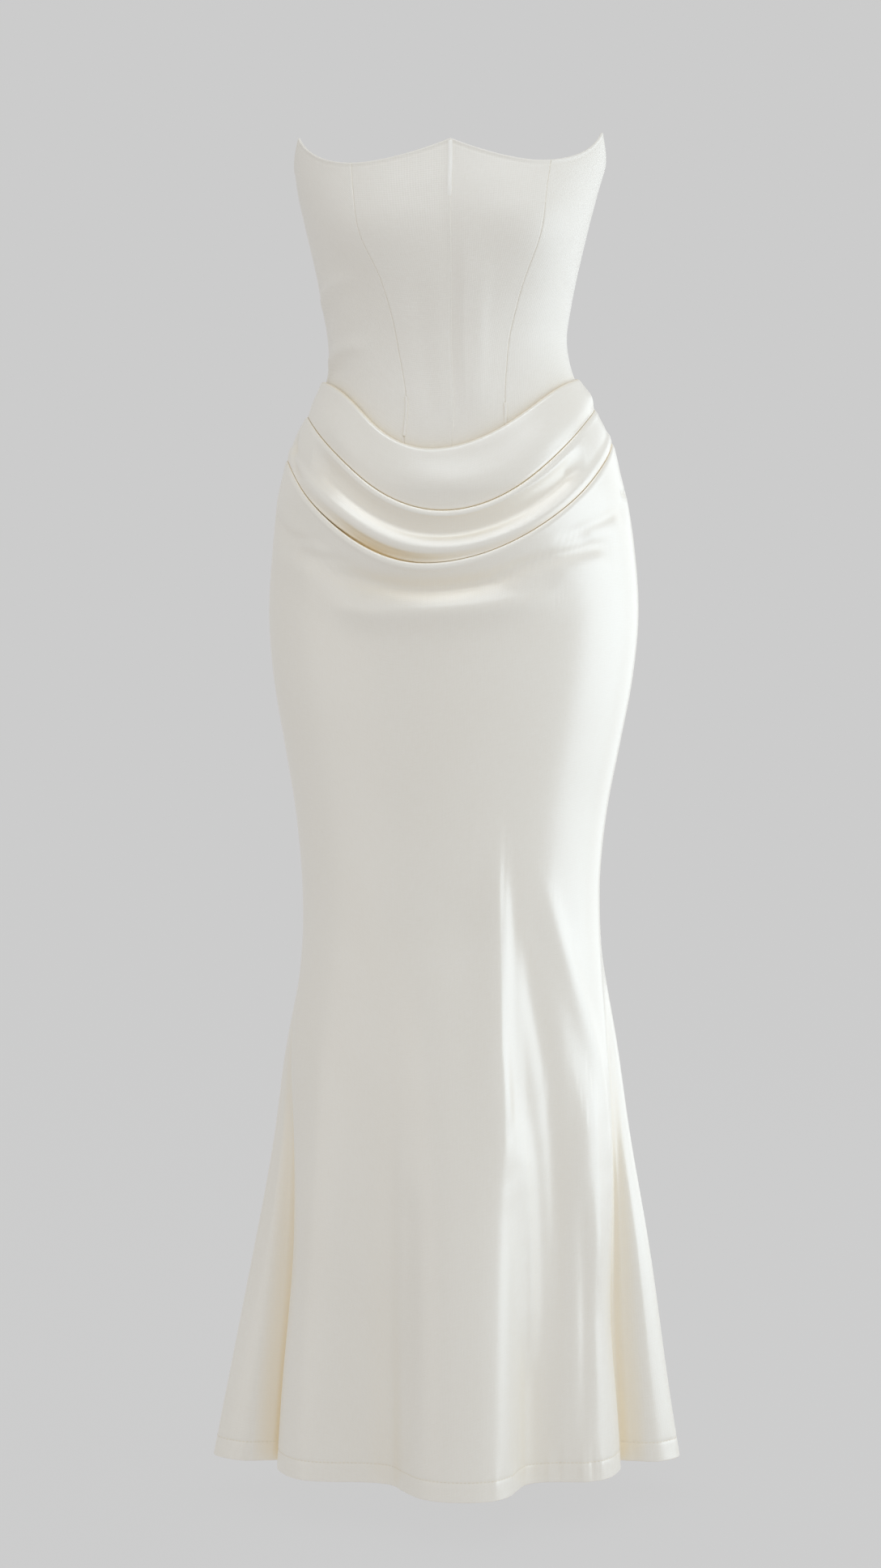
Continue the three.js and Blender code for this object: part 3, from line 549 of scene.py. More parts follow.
def bodice_panel(name, start, end, shares, bottom, zip_at=0, welt_at=0):
    """One panel between two seams, with a rolled top edge and edges turned in at the seams."""
    drops = np.array(NECK_DROPS)
    share = np.asarray(shares)[:, None]
    up = np.linspace(0, 1, BODICE_EVEN_ROWS, endpoint=False)
    z = np.zeros((len(shares), BODICE_EVEN_ROWS + len(drops)))
    for _ in range(NECK_ROUNDS):
        at = lerp(start(z), end(z), share)
        top = neckline(at)
        low = bottom(at)[:, :BODICE_EVEN_ROWS]
        even = lerp(low, top[:, :BODICE_EVEN_ROWS] - drops[0], up)
        z = np.concatenate([even, top[:, BODICE_EVEN_ROWS:] - drops], axis=1)
    drop = neckline(at) - z
    cup = cup_stand(at, z)
    from_edge = np.minimum(share, 1 - share) * np.abs(end(z) - start(z)) * degree_width(z)
    calm = np.clip(from_edge / SEAM_CALM, 0, 1)
    roll = ROLL["proud"] * bell(drop - ROLL["proud_down"], ROLL["proud_wide"])
    groove = ROLL["groove"] * bell(drop - ROLL["groove_down"], ROLL["groove_wide"])
    welted = np.where(share < 0.5, 1, -1) == welt_at
    wide = np.where(welted, WELT["left" if welt_at < 0 else "right"], SEAM_DIP["wide"])
    seam = np.where(welted, WELT["high"], -SEAM_DIP["deep"]) * bell(from_edge, wide)
    ridge = SEAM_DIP["ridge"] * bell(from_edge - SEAM_DIP["ridge_from"], SEAM_DIP["ridge_wide"])
    cap = cap_stand(drop, ROLL["radius"])
    edge = np.zeros((len(shares), 1))
    edge[0], edge[-1] = 1, -1
    part = SEAM_GAP / 2
    if zip_at:
        open_up = np.clip((ZIP["notch"] - drop) / ZIP["slope"], 0, 1)
        part = np.where(edge == zip_at, lerp(part, ZIP["notch_half"], open_up), part)
    face = cup + creases(BODICE_CREASES, at, z) * calm + roll - groove + seam + ridge
    outer = on_dress(at, z, face + cap, edge * part)
    inner = on_dress(at, z, cup - BODICE_WALL - cap, edge * part)
    return cloth_shell(name, outer, inner)


def front_seam(column):
    return lambda z: read_table(FRONT_SEAMS, "z", column, z)


def straight_seam(at):
    return lambda z: np.full(np.shape(z), float(at))


def tip_shares(seam_at, tip_at):
    """Columns from a front seam to the side seam, crowded at the neckline's tip too."""
    tip = (tip_at - seam_at) / (SIDE_SEAM - seam_at)
    inner = crowded(TIP_COLUMNS["inner"], PANEL_CROWDING) * tip
    outer = tip + crowded(TIP_COLUMNS["outer"], PANEL_CROWDING)[1:] * (1 - tip)
    return np.concatenate([inner, outer])


def make_bodice():
    centre, left, right = front_seam("centre"), front_seam("left"), front_seam("right")
    left_tip = tip_shares(-float(left(np.array(NECK["left"]["tip"]))), NECK["left"]["tip_at"])
    right_tip = tip_shares(float(right(np.array(NECK["right"]["tip"]))), NECK["right"]["tip_at"])
    plain = crowded(PANEL_COLUMNS, PANEL_CROWDING)
    side, back, zip_seam = (straight_seam(at) for at in (SIDE_SEAM, BACK_PRINCESS, BACK_SEAM))
    side_left, back_left, zip_left = (
        straight_seam(-at) for at in (SIDE_SEAM, BACK_PRINCESS, BACK_SEAM)
    )
    return [
        bodice_panel("front_panel_left", left, centre, plain, tucked_in, welt_at=-1),
        bodice_panel("front_panel_right", centre, right, plain, tucked_in, welt_at=1),
        bodice_panel("side_front_panel_left", side_left, left, 1 - left_tip[::-1], tucked_in),
        bodice_panel("side_front_panel_right", right, side, right_tip, tucked_in),
        bodice_panel("side_back_panel_left", back_left, side_left, plain, sewn_back),
        bodice_panel("side_back_panel_right", side, back, plain, sewn_back),
        bodice_panel("back_panel_left", zip_left, back_left, plain, sewn_back, zip_at=1),
        bodice_panel("back_panel_right", back, zip_seam, plain, sewn_back, zip_at=-1),
    ]


BODICE_NODES = [
    "bodice_front_left", "bodice_front_right", "bodice_side_front_left", "bodice_side_front_right",
    "bodice_side_back_left", "bodice_side_back_right", "bodice_back_left", "bodice_back_right",
]
# The centre casing takes the casing look: the crepe painted lighter, as a painted highlight for the
# light its raised strip catches.
BONES = table("node, panel, seam, top, bottom, width, taper, look", [
    ("bone_strip_centre", "bodice_front_left", "centre", 192, 138, 5, 12, "casing"),
    ("bone_strip_left", "bodice_front_left", "left", -50, -88, 3, 1, "crepe"),
    ("bone_strip_right", "bodice_front_right", "right", -56, -77, 3.4, 1, "crepe"),
])
BONE_WALL = 0.8
BONE_EDGE = 0.15  # the casing's thickness along its edges
BONE_GRID = {"columns": 13, "rows": 56, "crowding": 0.9}
BONE_NARROWS = 0.5  # the share of its width that a casing keeps at its end
BONE_OFF = 0.1  # clearance over the panels' seam


def make_bone(bone):
    """A bone's casing: a narrow strip with rounded edges, domed over the bone."""
    across = np.sin(np.linspace(-math.pi / 2, math.pi / 2, BONE_GRID["columns"]))
    up = crowded(BONE_GRID["rows"], BONE_GRID["crowding"])
    z = np.broadcast_to(lerp(bone["bottom"], bone["top"], up), (len(across), len(up)))
    at = front_seam(bone["seam"])(z)
    ends = np.clip(np.minimum((z - bone["bottom"]) / bone["taper"], bone["top"] - z), 0, 1)
    end_round = np.sqrt(1 - (1 - ends) ** 2)
    shift = across[:, None] * bone["width"] / 2 * lerp(BONE_NARROWS, 1, end_round)
    dome = np.sqrt(np.clip(1 - across**2, 0, 1))[:, None] * end_round
    base = cup_stand(at, z) + BONE_OFF
    outer = on_dress(at, z, base + BONE_EDGE + BONE_WALL * dome, shift)
    inner = on_dress(at, z, base, shift)
    return cloth_shell(bone["node"].replace("strip", "casing"), outer, inner)


# Skirt front

def fold_arc(middle, level, radius, low, high, count, tall=None):
    """Points as (stand, level) on an arc between two angles, which may be taller than deep."""
    tall = radius if tall is None else tall
    angles = np.radians(np.linspace(low, high, count))
    return [(middle + radius * math.cos(a), level + tall * math.sin(a)) for a in angles]


ARC_POINTS = 11
TURN_POINTS = 7
ROWS = {"leg": 5, "face": 4, "lip": 4, "tuck": 3, "lower_face": 6}  # on a stretch of each kind
FREE = {"lip": 0.2, "tuck": 0.1}  # how far the creases may move a pocket's mouth


def front_profile(at):
    """The skirt front's cut at an array of places: (stand, level) arrays from its turned-in
    edge down to where the cloth lies plain under the lowest rim, and for each point how far
    the creases may move it and how many rows lead to it."""
    levels = [rim_level(rim, at) for rim in RIMS]
    near = [bell(at - rim["low_at"], STAND_SPREAD) for rim in RIMS]
    stands = [lerp(rim["side"], rim["stand"], share) for rim, share in zip(RIMS, near)]
    soft = lerp(levels[1], levels[2], read_table(SOFT_FOLD, "at", "down", at))
    mouths = [level + POCKET["above"] for level in levels]
    turns = [lerp(RIM_TURN["side"], RIM_TURN["middle"], share) for share in near]
    wide = np.where(at < OPEN_POCKET["at"], OPEN_POCKET["left"], OPEN_POCKET["right"])
    agape = bell(at - OPEN_POCKET["at"], wide)
    gaps = [0, POCKET["gap"], POCKET["gap"] + OPEN_POCKET["gap"] * agape]
    tucks = [stand - 2 * turn - gap for stand, turn, gap in zip(stands, turns, gaps)]
    lips = [stand - POCKET["lip"] * turn for stand, turn in zip(stands, turns)]
    lips[2] = lerp(lips[2], tucks[2] + POCKET["turn"], agape)
    points = []
    free = []
    parts = []

    def add(rows, freedom, between, first=None):
        for k, row in enumerate(rows):
            points.append(tuple(np.broadcast_to(value, at.shape) for value in row))
            free.append(freedom)
            parts.append(first if first and k == 0 else between)

    def rim(index):
        turn, tall = turns[index], RIM_TALL * turns[index]
        middle = stands[index] - turn
        back = fold_arc(middle, levels[index] - turn, turn, 180, 90, ARC_POINTS // 2 + 1)
        add(back, 0.0, 1, first=ROWS["face"])
        front = fold_arc(middle, levels[index] - tall, turn, 90, 0, ARC_POINTS, tall)
        add(front[1:], 0.0, 1)

    def pocket(index, deep):
        add([(lips[index], mouths[index])], FREE["lip"], ROWS["lip"])
        add([(tucks[index], levels[index])], FREE["tuck"], ROWS["tuck"])
        bottom = fold_arc(POCKET["face"] + POCKET["turn"], levels[index] - deep, POCKET["turn"],
                          180, 360, TURN_POINTS)
        add(bottom, 0.0, 1, first=ROWS["leg"])

    add([(FIRST_RIM["inside"], levels[0] - FIRST_RIM["turned_in"])], 0.0, 1)
    turn = (stands[0] - FIRST_RIM["inside"]) / 2
    top = fold_arc(FIRST_RIM["inside"] + turn, levels[0] - turn, turn, 180, 0, ARC_POINTS)
    add(top, 0.0, 1, first=ROWS["leg"])
    add([(lerp(side, middle, near[0]), lerp(levels[0], mouths[1], down))
         for down, side, middle in FIRST_FACE], 1.0, ROWS["face"])
    full = [lerp(POCKET["side"], POCKET["middle"], share) for share in near]
    pocket(1, np.minimum(full[1], POCKET_ROOM * (levels[1] - levels[2])))
    rim(1)
    inside = np.minimum(at - HOLLOW["left"], HOLLOW["right"] - at) / HOLLOW["fade"]
    hollow = np.clip(inside, 0, 1)
    add([(lerp(POCKET["face"], stands[1], lerp(HOLLOW["flat"], out, hollow)),
          lerp(levels[1], soft, down)) for down, out in SECOND_UPPER], 1.0, ROWS["face"])
    add([(lerp(lerp(side, middle, near[2]), where_open, agape), lerp(soft, mouths[2], down))
         for down, side, middle, where_open in SECOND_LOWER], 1.0, ROWS["face"])
    pocket(2, lerp(full[2], OPEN_POCKET["deep"], agape))
    rim(2)
    add([(stands[2] * lerp(side, middle, near[2]), levels[2] - down)
         for down, side, middle in LOWER_FACE], 1.0, ROWS["lower_face"])
    sewn = lerp(SEWN_FLAT["share"], 1, np.clip((SIDE_SEAM - np.abs(at)) / SEWN_FLAT["wide"], 0, 1))
    return [(stand * sewn, level) for stand, level in points], free, parts


HEM_LINE = {"up": 19, "groove": 0.3, "wide": 1.5}
# The rows of points over the hem, and the grids above them. By seam is the share of the width
# between a seam and the next column.
HEM_RISES = [34, 27, 22.5, 20.6, 19.6, 19, 18.4, 17.4, 15, 11, 7, 4, 2.2, 1.2, 0.6, 0.25, 0]
FRONT_GRID = {"columns": 265, "crowding": 0.45, "by_seam": 0.0016, "rows": 92}
BACK_GRID = {"columns": 141, "crowding": 0.5, "by_seam": 0.003, "rows": 150}
EDGE_ROUND = 0.55


def resampled(points, free, parts):
    """A smooth curve through the profile's points: stands, levels and freedom, row by row."""
    curves = [np.stack([point[k] for point in points]) for k in range(2)]
    run = np.hypot(*(np.diff(values, axis=0) for values in curves))
    slopes = []
    for values in curves:
        rate = np.diff(values, axis=0) / run
        inside = (rate[:-1] * run[1:] + rate[1:] * run[:-1]) / (run[1:] + run[:-1])
        slopes.append(np.concatenate([rate[:1], inside, rate[-1:]]))
    out = [[values[0]] for values in curves]
    freedom = [free[0]]
    for i in range(len(points) - 1):
        for step in range(1, parts[i + 1] + 1):
            t = step / parts[i + 1]
            for rows, values, slope in zip(out, curves, slopes):
                start_slope, end_slope = run[i] * slope[i], run[i] * slope[i + 1]
                rows.append(hermite(t, values[i], start_slope, values[i + 1], end_slope))
            freedom.append(lerp(free[i], free[i + 1], t))
    return np.stack(out[0], 1), np.stack(out[1], 1), np.array(freedom)


def hem_rows(top, rows):
    """Levels from just under top down to the hem, closest together by the hem."""
    top = top[:, None]
    even = top + (HEM + HEM_RISES[0] - top) * np.linspace(0, 1, rows + 1)[1:]
    edge = np.broadcast_to(HEM + np.array(HEM_RISES[1:]), (len(top), len(HEM_RISES) - 1))
    return np.concatenate([even, edge], 1)


def hem_detail(z):
    """The hem's stitched line and its rounded edge."""
    rise = z - HEM
    groove = HEM_LINE["groove"] * bell(rise - HEM_LINE["up"], HEM_LINE["wide"])
    return cap_stand(rise, EDGE_ROUND) - groove


# Small puckers along the hem's stitching: place, width in degrees, and height
HEM_PUCKERS = [
    (-74, 2.2, 0.5), (-63, 1.6, -0.4), (-49, 2.6, 0.35), (-31, 1.8, -0.4), (-12, 2.4, 0.4),
    (15, 1.4, 0.9), (18.5, 1.3, -0.8), (22, 1.2, 0.9), (26, 1.2, -0.7), (41, 1.8, 0.8),
    (46, 1.6, -0.7), (58, 1.6, 0.9), (63, 1.4, -0.9), (68, 1.5, 0.8), (78, 1.4, -0.6),
    (98, 1.8, 0.7), (106, 1.6, -0.6), (118, 2.2, 0.6), (140, 2.6, -0.5), (158, 2.4, 0.5),
    (174, 2.0, -0.4), (192, 2.2, 0.5), (209, 2.6, -0.5), (226, 2.2, 0.4), (243, 2.0, 0.6),
    (254, 1.8, -0.5),
]
PUCKER_RISE = {"middle": 13, "spread": 15}


def puckers(at, z):
    total = np.zeros(np.broadcast(at, z).shape)
    up = bell(z - HEM - PUCKER_RISE["middle"], PUCKER_RISE["spread"])
    for place, wide, height in HEM_PUCKERS:
        total += height * up * bell(from_left_seam(at) - place, wide)
    return total


SEAM_STEP = 3.0  # between the levels at which the lift is worked out
SEAM_LIFT_WIDE = 7.0


def seam_rise(at, z):
    """How far the folds that are sewn into a side seam lift it, at each level."""
    stand, level, _ = resampled(*front_profile(np.array([float(at)])))
    levels = np.arange(level.min(), level.max(), SEAM_STEP)
    lift = [stand[np.abs(level - here) <= SEAM_STEP].max() for here in levels]
    return np.interp(z, levels, lift)


SKIRT_SEAM = {"deep": 0.55, "wide": 0.9, "ridge": 0.12, "ridge_from": 2.6, "ridge_wide": 1.5}


def skirt_seam_dip(from_edge):
    ridge = bell(from_edge - SKIRT_SEAM["ridge_from"], SKIRT_SEAM["ridge_wide"])
    return SKIRT_SEAM["ridge"] * ridge - SKIRT_SEAM["deep"] * bell(from_edge, SKIRT_SEAM["wide"])


def skirt_places(grid, start, end):
    """The columns of a skirt's cloth from seam to seam, and how far each is moved for the gap."""
    shares = crowded(grid["columns"], grid["crowding"])
    shares[1], shares[-2] = grid["by_seam"], 1 - grid["by_seam"]
    shift = np.zeros((len(shares), 1))
    shift[0] = math.copysign(SEAM_GAP / 2, end - start)
    shift[-1] = -shift[0]
    return lerp(float(start), float(end), shares), shift


def make_skirt_front():
    at, shift = skirt_places(FRONT_GRID, SIDE_SEAM, -SIDE_SEAM)
    stand, level, freedom = resampled(*front_profile(at))
    plain = hem_rows(level[:, -1], FRONT_GRID["rows"])
    stand = np.concatenate([stand, np.zeros(plain.shape)], 1)
    level = np.concatenate([level, plain], 1)
    freedom = np.concatenate([freedom, np.ones(plain.shape[1])])
    if level.shape[1] % 2 == 0:  # the wrong side takes every second row, the last one too
        level, stand, freedom = level[:, 1:], stand[:, 1:], freedom[1:]
    places = np.broadcast_to(at[:, None], level.shape)
    out, down = np.gradient(stand, axis=1), np.gradient(level, axis=1)
    run = np.hypot(out, down)
    back_stand = stand + SKIRT_WALL * down / run
    back_level = level - SKIRT_WALL * out / run
    back_level[:, -1] = HEM
    moved = (creases(SKIRT_CREASES, places, level) + creases(FALL_CREASES, places, level)) * freedom
    moved = moved + puckers(places, level)
    from_side = (SIDE_SEAM - np.abs(places)) * degree_width(level)
    face = stand + moved + hem_detail(level) + skirt_seam_dip(from_side) * freedom
    outer = on_dress(places, level, face, shift)
    back = back_stand + moved - cap_stand(back_level - HEM, EDGE_ROUND)
    inner = on_dress(places, back_level, back, shift)
    return cloth_shell("skirt_front_cloth", outer, inner, step=2)


# Skirt back

BACK_CREASES = table("height, above, below, path", [
    (-1.6, 5, 9, [(96, -118), (108, -126), (122, -128), (136, -124)]),
    (1.4, 9, 11, [(94, -158), (108, -172), (124, -178)]),
    (-1.3, 4, 7, [(93, -88), (104, -98), (116, -102)]),
    (-1.4, 8, 11, [(112, -420), (128, -428), (146, -424)]),
    (1.4, 11, 10, [(118, -500), (136, -508), (156, -502)]),
    (1.1, 11, 14, [(128, -330), (146, -338), (164, -334)]),
    (-1.5, 5, 9, [(-96, -122), (-110, -132), (-124, -134)]),
    (1.3, 9, 12, [(-94, -166), (-110, -180), (-128, -184)]),
    (-1.2, 4, 7, [(-93, -92), (-105, -104), (-118, -106)]),
    (-1.3, 8, 12, [(-114, -410), (-130, -420), (-150, -414)]),
    (1.3, 11, 11, [(-120, -492), (-140, -502), (-160, -494)]),
    (1.0, 11, 14, [(-130, -344), (-148, -352), (-166, -346)]),
    (2.0, 16, 14, [(150, -640), (152, -820), (154, -1000)]),
    (2.0, 15, 16, [(-152, -660), (-154, -840), (-152, -1020)]),
    (-2.0, 14, 16, [(120, -700), (124, -860), (128, -1040)]),
    (-2.0, 15, 14, [(-122, -720), (-126, -880), (-130, -1040)]),
])
BACK_TOP_ROWS = [0, 0.4, 1.0, 1.8, 3.0, 5.0]  # the rows of points under the waist seam
BACK_CALM = {"wide": 14, "power": 0.7}  # how the creases fade beside the seams


def make_skirt_back(name, side_seam):
    at, shift = skirt_places(BACK_GRID, min(side_seam, BACK_SEAM), max(side_seam, BACK_SEAM))
    drops = np.array(BACK_TOP_ROWS)
    under_waist = np.broadcast_to(WAIST_SEAM_BACK - drops, (len(at), len(drops)))
    level = np.concatenate([under_waist, hem_rows(under_waist[:, -1], BACK_GRID["rows"])], 1)
    places = np.broadcast_to(at[:, None], level.shape)
    from_side = np.abs(places - side_seam) * degree_width(level)
    from_seam = np.minimum(from_side, np.abs(places - BACK_SEAM) * degree_width(level))
    calm = np.clip(from_seam / BACK_CALM["wide"], 0, 1) ** BACK_CALM["power"]
    moved = creases(BACK_CREASES, from_front(places), level) + puckers(places, level)
    lift = seam_rise(from_front(side_seam), level) * bell(from_side, SEAM_LIFT_WIDE)
    face = moved * calm + lift
    dip = skirt_seam_dip(from_seam) + skirt_seam_dip(WAIST_SEAM_BACK - level)
    outer = on_dress(places, level, face + dip + hem_detail(level), shift)
    inner = on_dress(places, level, face - SKIRT_WALL - cap_stand(level - HEM, EDGE_ROUND), shift)
    return cloth_shell(name, outer, inner)


# Zip

TAPE_GRID = {"columns": 9, "rows": 181}


def make_tape():
    across = np.linspace(-0.5, 0.5, TAPE_GRID["columns"])[:, None]
    up = np.linspace(ZIP["bottom"], NECK["back"] - ZIP["notch"], TAPE_GRID["rows"])
    z = np.broadcast_to(up, (len(across), len(up)))
    at = BACK_SEAM + across * ZIP["tape"] / degree_width(z)
    inside = -BODICE_WALL - ZIP["clearance"]
    outer = on_dress(at, z, inside)
    inner = on_dress(at, z, inside - ZIP["tape_wall"])
    return cloth_shell("zip_tape_cloth", outer, inner)


TEETH = {"pitch": 1.5, "long": 3.2, "tall": 0.9, "deep": 1.1, "off": 0.45, "end": 2}
TOOTH_OUTLINE = [(-0.5, -0.3), (-0.5, 0.3), (-0.3, 0.5), (0.3, 0.5),
                 (0.5, 0.3), (0.5, -0.3), (0.3, -0.5), (-0.3, -0.5)]


def make_teeth():
    """The zip's moulded teeth: rounded blocks, by turns on the left and right of the seam."""
    length = NECK["back"] - ZIP["notch"] - ZIP["bottom"] - 2 * TEETH["end"]
    base = -BODICE_WALL - ZIP["clearance"] - ZIP["tape_wall"]
    points = []
    faces = []
    for k in range(int(length / TEETH["pitch"])):
        z = ZIP["bottom"] + TEETH["end"] + k * TEETH["pitch"]
        off = TEETH["off"] if k % 2 else -TEETH["off"]
        faces += tube_faces(len(points), len(TOOTH_OUTLINE), 2)
        for stand in (base - TEETH["deep"], base):
            for across, up in TOOTH_OUTLINE:
                level = z + up * TEETH["tall"]
                points.append(on_dress(float(BACK_SEAM), level, stand, (across + off) * TEETH["long"]))
    return mesh_object("zip_teeth", np.array(points), faces, smooth_under=30)


# Stitches

STITCH = {"long": 2.6, "thick": 0.42, "gap": 1.3, "proud": 0.15}
STITCH_RINGS = [(-0.5, 0.25), (-0.36, 0.8), (0.0, 1.0), (0.36, 0.8), (0.5, 0.25)]  # along, thick
STITCH_SIDES = 6
STITCH_PROBE = 0.5  # how far ahead a stitch's direction is read


def stitch_line(name, line):
    """Sewing thread along a level line: short rounded stitches as one joined mesh."""
    run = np.concatenate([[0], np.cumsum(np.linalg.norm(np.diff(line, axis=0), axis=1))])
    pitch = STITCH["long"] + STITCH["gap"]
    points = []
    faces = []

    def on_line(place):
        return np.array([np.interp(place, run, line[:, axis]) for axis in range(3)])

    for k in range(int(run[-1] / pitch)):
        faces += tube_faces(len(points), STITCH_SIDES, len(STITCH_RINGS))
        for share, thick in STITCH_RINGS:
            place = (k + 0.5) * pitch + share * STITCH["long"]
            centre = on_line(place)
            forward = on_line(place + STITCH_PROBE) - centre
            forward = forward / np.linalg.norm(forward)
            out = np.cross(forward, (0.0, 0.0, 1.0))
            out = out / np.linalg.norm(out)
            up = np.cross(out, forward)
            for turn in np.arange(STITCH_SIDES) * 2 * math.pi / STITCH_SIDES:
                round_thread = out * math.cos(turn) + up * math.sin(turn)
                points.append(centre + round_thread * STITCH["thick"] / 2 * thick)
    return mesh_object(name, np.array(points), faces, smooth_under=80)


HEM_STITCHES = table("name, start, end, creases", [
    ("hem_stitches_front", -89.4, 89.4, FALL_CREASES),
    ("hem_stitches_right", 90.6, 179.5, BACK_CREASES),
    ("hem_stitches_left", 180.5, 269.4, BACK_CREASES),
])
HEM_LINE_POINTS = 700


def make_hem_stitches():
    made = []
    for row in HEM_STITCHES:
        at = np.linspace(row["start"], row["end"], HEM_LINE_POINTS)
        z = np.full(at.shape, float(HEM + HEM_LINE["up"]))
        cloth = puckers(at, z) + creases(row["creases"], from_front(at), z)
        line = on_dress(at, z, cloth - HEM_LINE["groove"] + STITCH["proud"])
        made.append(stitch_line(row["name"], line))
    return made


# Materials

class Material:
    """A material and its nodes. A node's inputs are given by their names or numbers."""

    def __init__(self, name):
        self.material = bpy.data.materials.new(name)
        self.material.use_nodes = True
        self.tree = self.material.node_tree
        self.shader = self.tree.nodes["Principled BSDF"]

    def feed(self, node, inputs):
        for socket, value in inputs.items():
            if isinstance(value, bpy.types.NodeSocket):
                self.tree.links.new(value, node.inputs[socket])
            else:
                node.inputs[socket].default_value = value

    def add(self, kind, output, inputs, **settings):
        """One more node, joined to what it takes in. It gives one of the node's outputs."""
        node = self.tree.nodes.new(kind)
        for key, value in settings.items():
            setattr(node, key, value)
        self.feed(node, inputs)
        return node.outputs[output]

    def place(self, kind):
        return self.add("ShaderNodeTexCoord", kind, {})

    def math(self, operation, first, second):
        return self.add("ShaderNodeMath", 0, {0: first, 1: second}, operation=operation)

    def mix(self, share, first, second):
        return self.add("ShaderNodeMix", 2, {0: share, 6: first, 7: second}, data_type="RGBA")

    def spread(self, value, low, high, to_low=0.0, to_high=1.0):
        """Brings values between low and high to the range between to_low and to_high."""
        inputs = {"Value": value, "From Min": low, "From Max": high, "To Min": to_low,
                  "To Max": to_high}
        return self.add("ShaderNodeMapRange", "Result", inputs)

    def bump(self, height, strength, millimetres):
        inputs = {"Height": height, "Strength": strength, "Distance": METRE * millimetres}
        self.feed(self.shader, {"Normal": self.add("ShaderNodeBump", "Normal", inputs)})

    def noise(self, source, scale, detail, stretch=(1.0, 1.0, 1.0)):
        """Noise, which may be drawn out along the cloth, as slubs in its threads are."""
        place = self.add("ShaderNodeMapping", "Vector", {"Vector": source, "Scale": stretch})
        inputs = {"Vector": place, "Scale": scale, "Detail": detail}
        return self.add("ShaderNodeTexNoise", "Fac", inputs)

    def threads(self, source, direction, scale, **more):
        inputs = {"Vector": source, "Scale": scale, **more}
        return self.add("ShaderNodeTexWave", "Fac", inputs, wave_type="BANDS",
                        bands_direction=direction)


def solid(colour):
    return (*colour, 1.0)


# Painted shade in folds: a warm tone mixed into the cloth's colour where other cloth lies close around,
# in place of light bounced there.
PAINTED_SHADE_REACH = 32 * METRE  # how near the cloth across a fold must be to warm its tone
PAINTED_SHADE_OPEN = {"plain": 0.985, "deep": 0.5}  # how open the cloth lies where its tone changes
UNEVEN = {"Distortion": 0.6, "Detail": 1.0, "Detail Scale": 2.0}  # the run of the threads
SLUBS = {"detail": 3.0, "down": (1.0, 0.12, 1.0), "across": (0.12, 1.0, 1.0)}
BROAD = {"scale": 9.0, "detail": 2.0}
GRAIN_DETAIL = 4.0
TONES = {"low": 1.5, "high": 2.5}  # of four noises' sum
SLUB_TONES = {"low": 0.7, "high": 1.3}  # of two noises' sum
CLOTH_BUMP = 0.3  # millimetres


def paint_warm_fold_shade(made, colour, fold):
    """Painted shade: a warmer tone mixed into the ivory cloth's colour deep in a fold, standing in for
    the light that comes off more of the same cloth there.
    """
    open_share = made.add("ShaderNodeAmbientOcclusion", "AO", {"Distance": PAINTED_SHADE_REACH}, samples=3)
    share = made.spread(open_share, PAINTED_SHADE_OPEN["plain"], PAINTED_SHADE_OPEN["deep"])
    return made.mix(share, colour, solid(fold))


def cloth_material(name, look):
    """Woven cloth: fine warp and weft, uneven threads, slight changes of tone, and a warm painted shade
    deep in its folds.
    """
    made = Material(name)
    uv = made.place("UV")
    warp = made.threads(uv, "X", look["warp"], **UNEVEN)
    weft = made.threads(uv, "Y", look["weft"], **UNEVEN)
    down = made.noise(uv, look["slub"], SLUBS["detail"], SLUBS["down"])
    across = made.noise(uv, look["slub"], SLUBS["detail"], SLUBS["across"])
    grain = made.noise(uv, look["grain"], GRAIN_DETAIL)
    broad = made.noise(uv, BROAD["scale"], BROAD["detail"])
    weave = made.math("ADD", warp, weft)
    slubs = made.math("ADD", down, across)
    tone = made.math("ADD", made.math("ADD", slubs, grain), broad)
    share = made.spread(tone, TONES["low"], TONES["high"])
    colour = made.mix(share, solid(look["dark"]), solid(look["light"]))
    rough = made.spread(slubs, SLUB_TONES["low"], SLUB_TONES["high"], *look["rough"])
    made.feed(made.shader, {"Base Color": paint_warm_fold_shade(made, colour, look["fold"]),
                            "Roughness": rough, **look["shader"]})
    height = made.math("MULTIPLY", weave, look["weave_height"])
    lumps = made.math("MULTIPLY", tone, look["slub_height"])
    made.bump(made.math("ADD", height, lumps), look["bump"], CLOTH_BUMP)
    return made.material


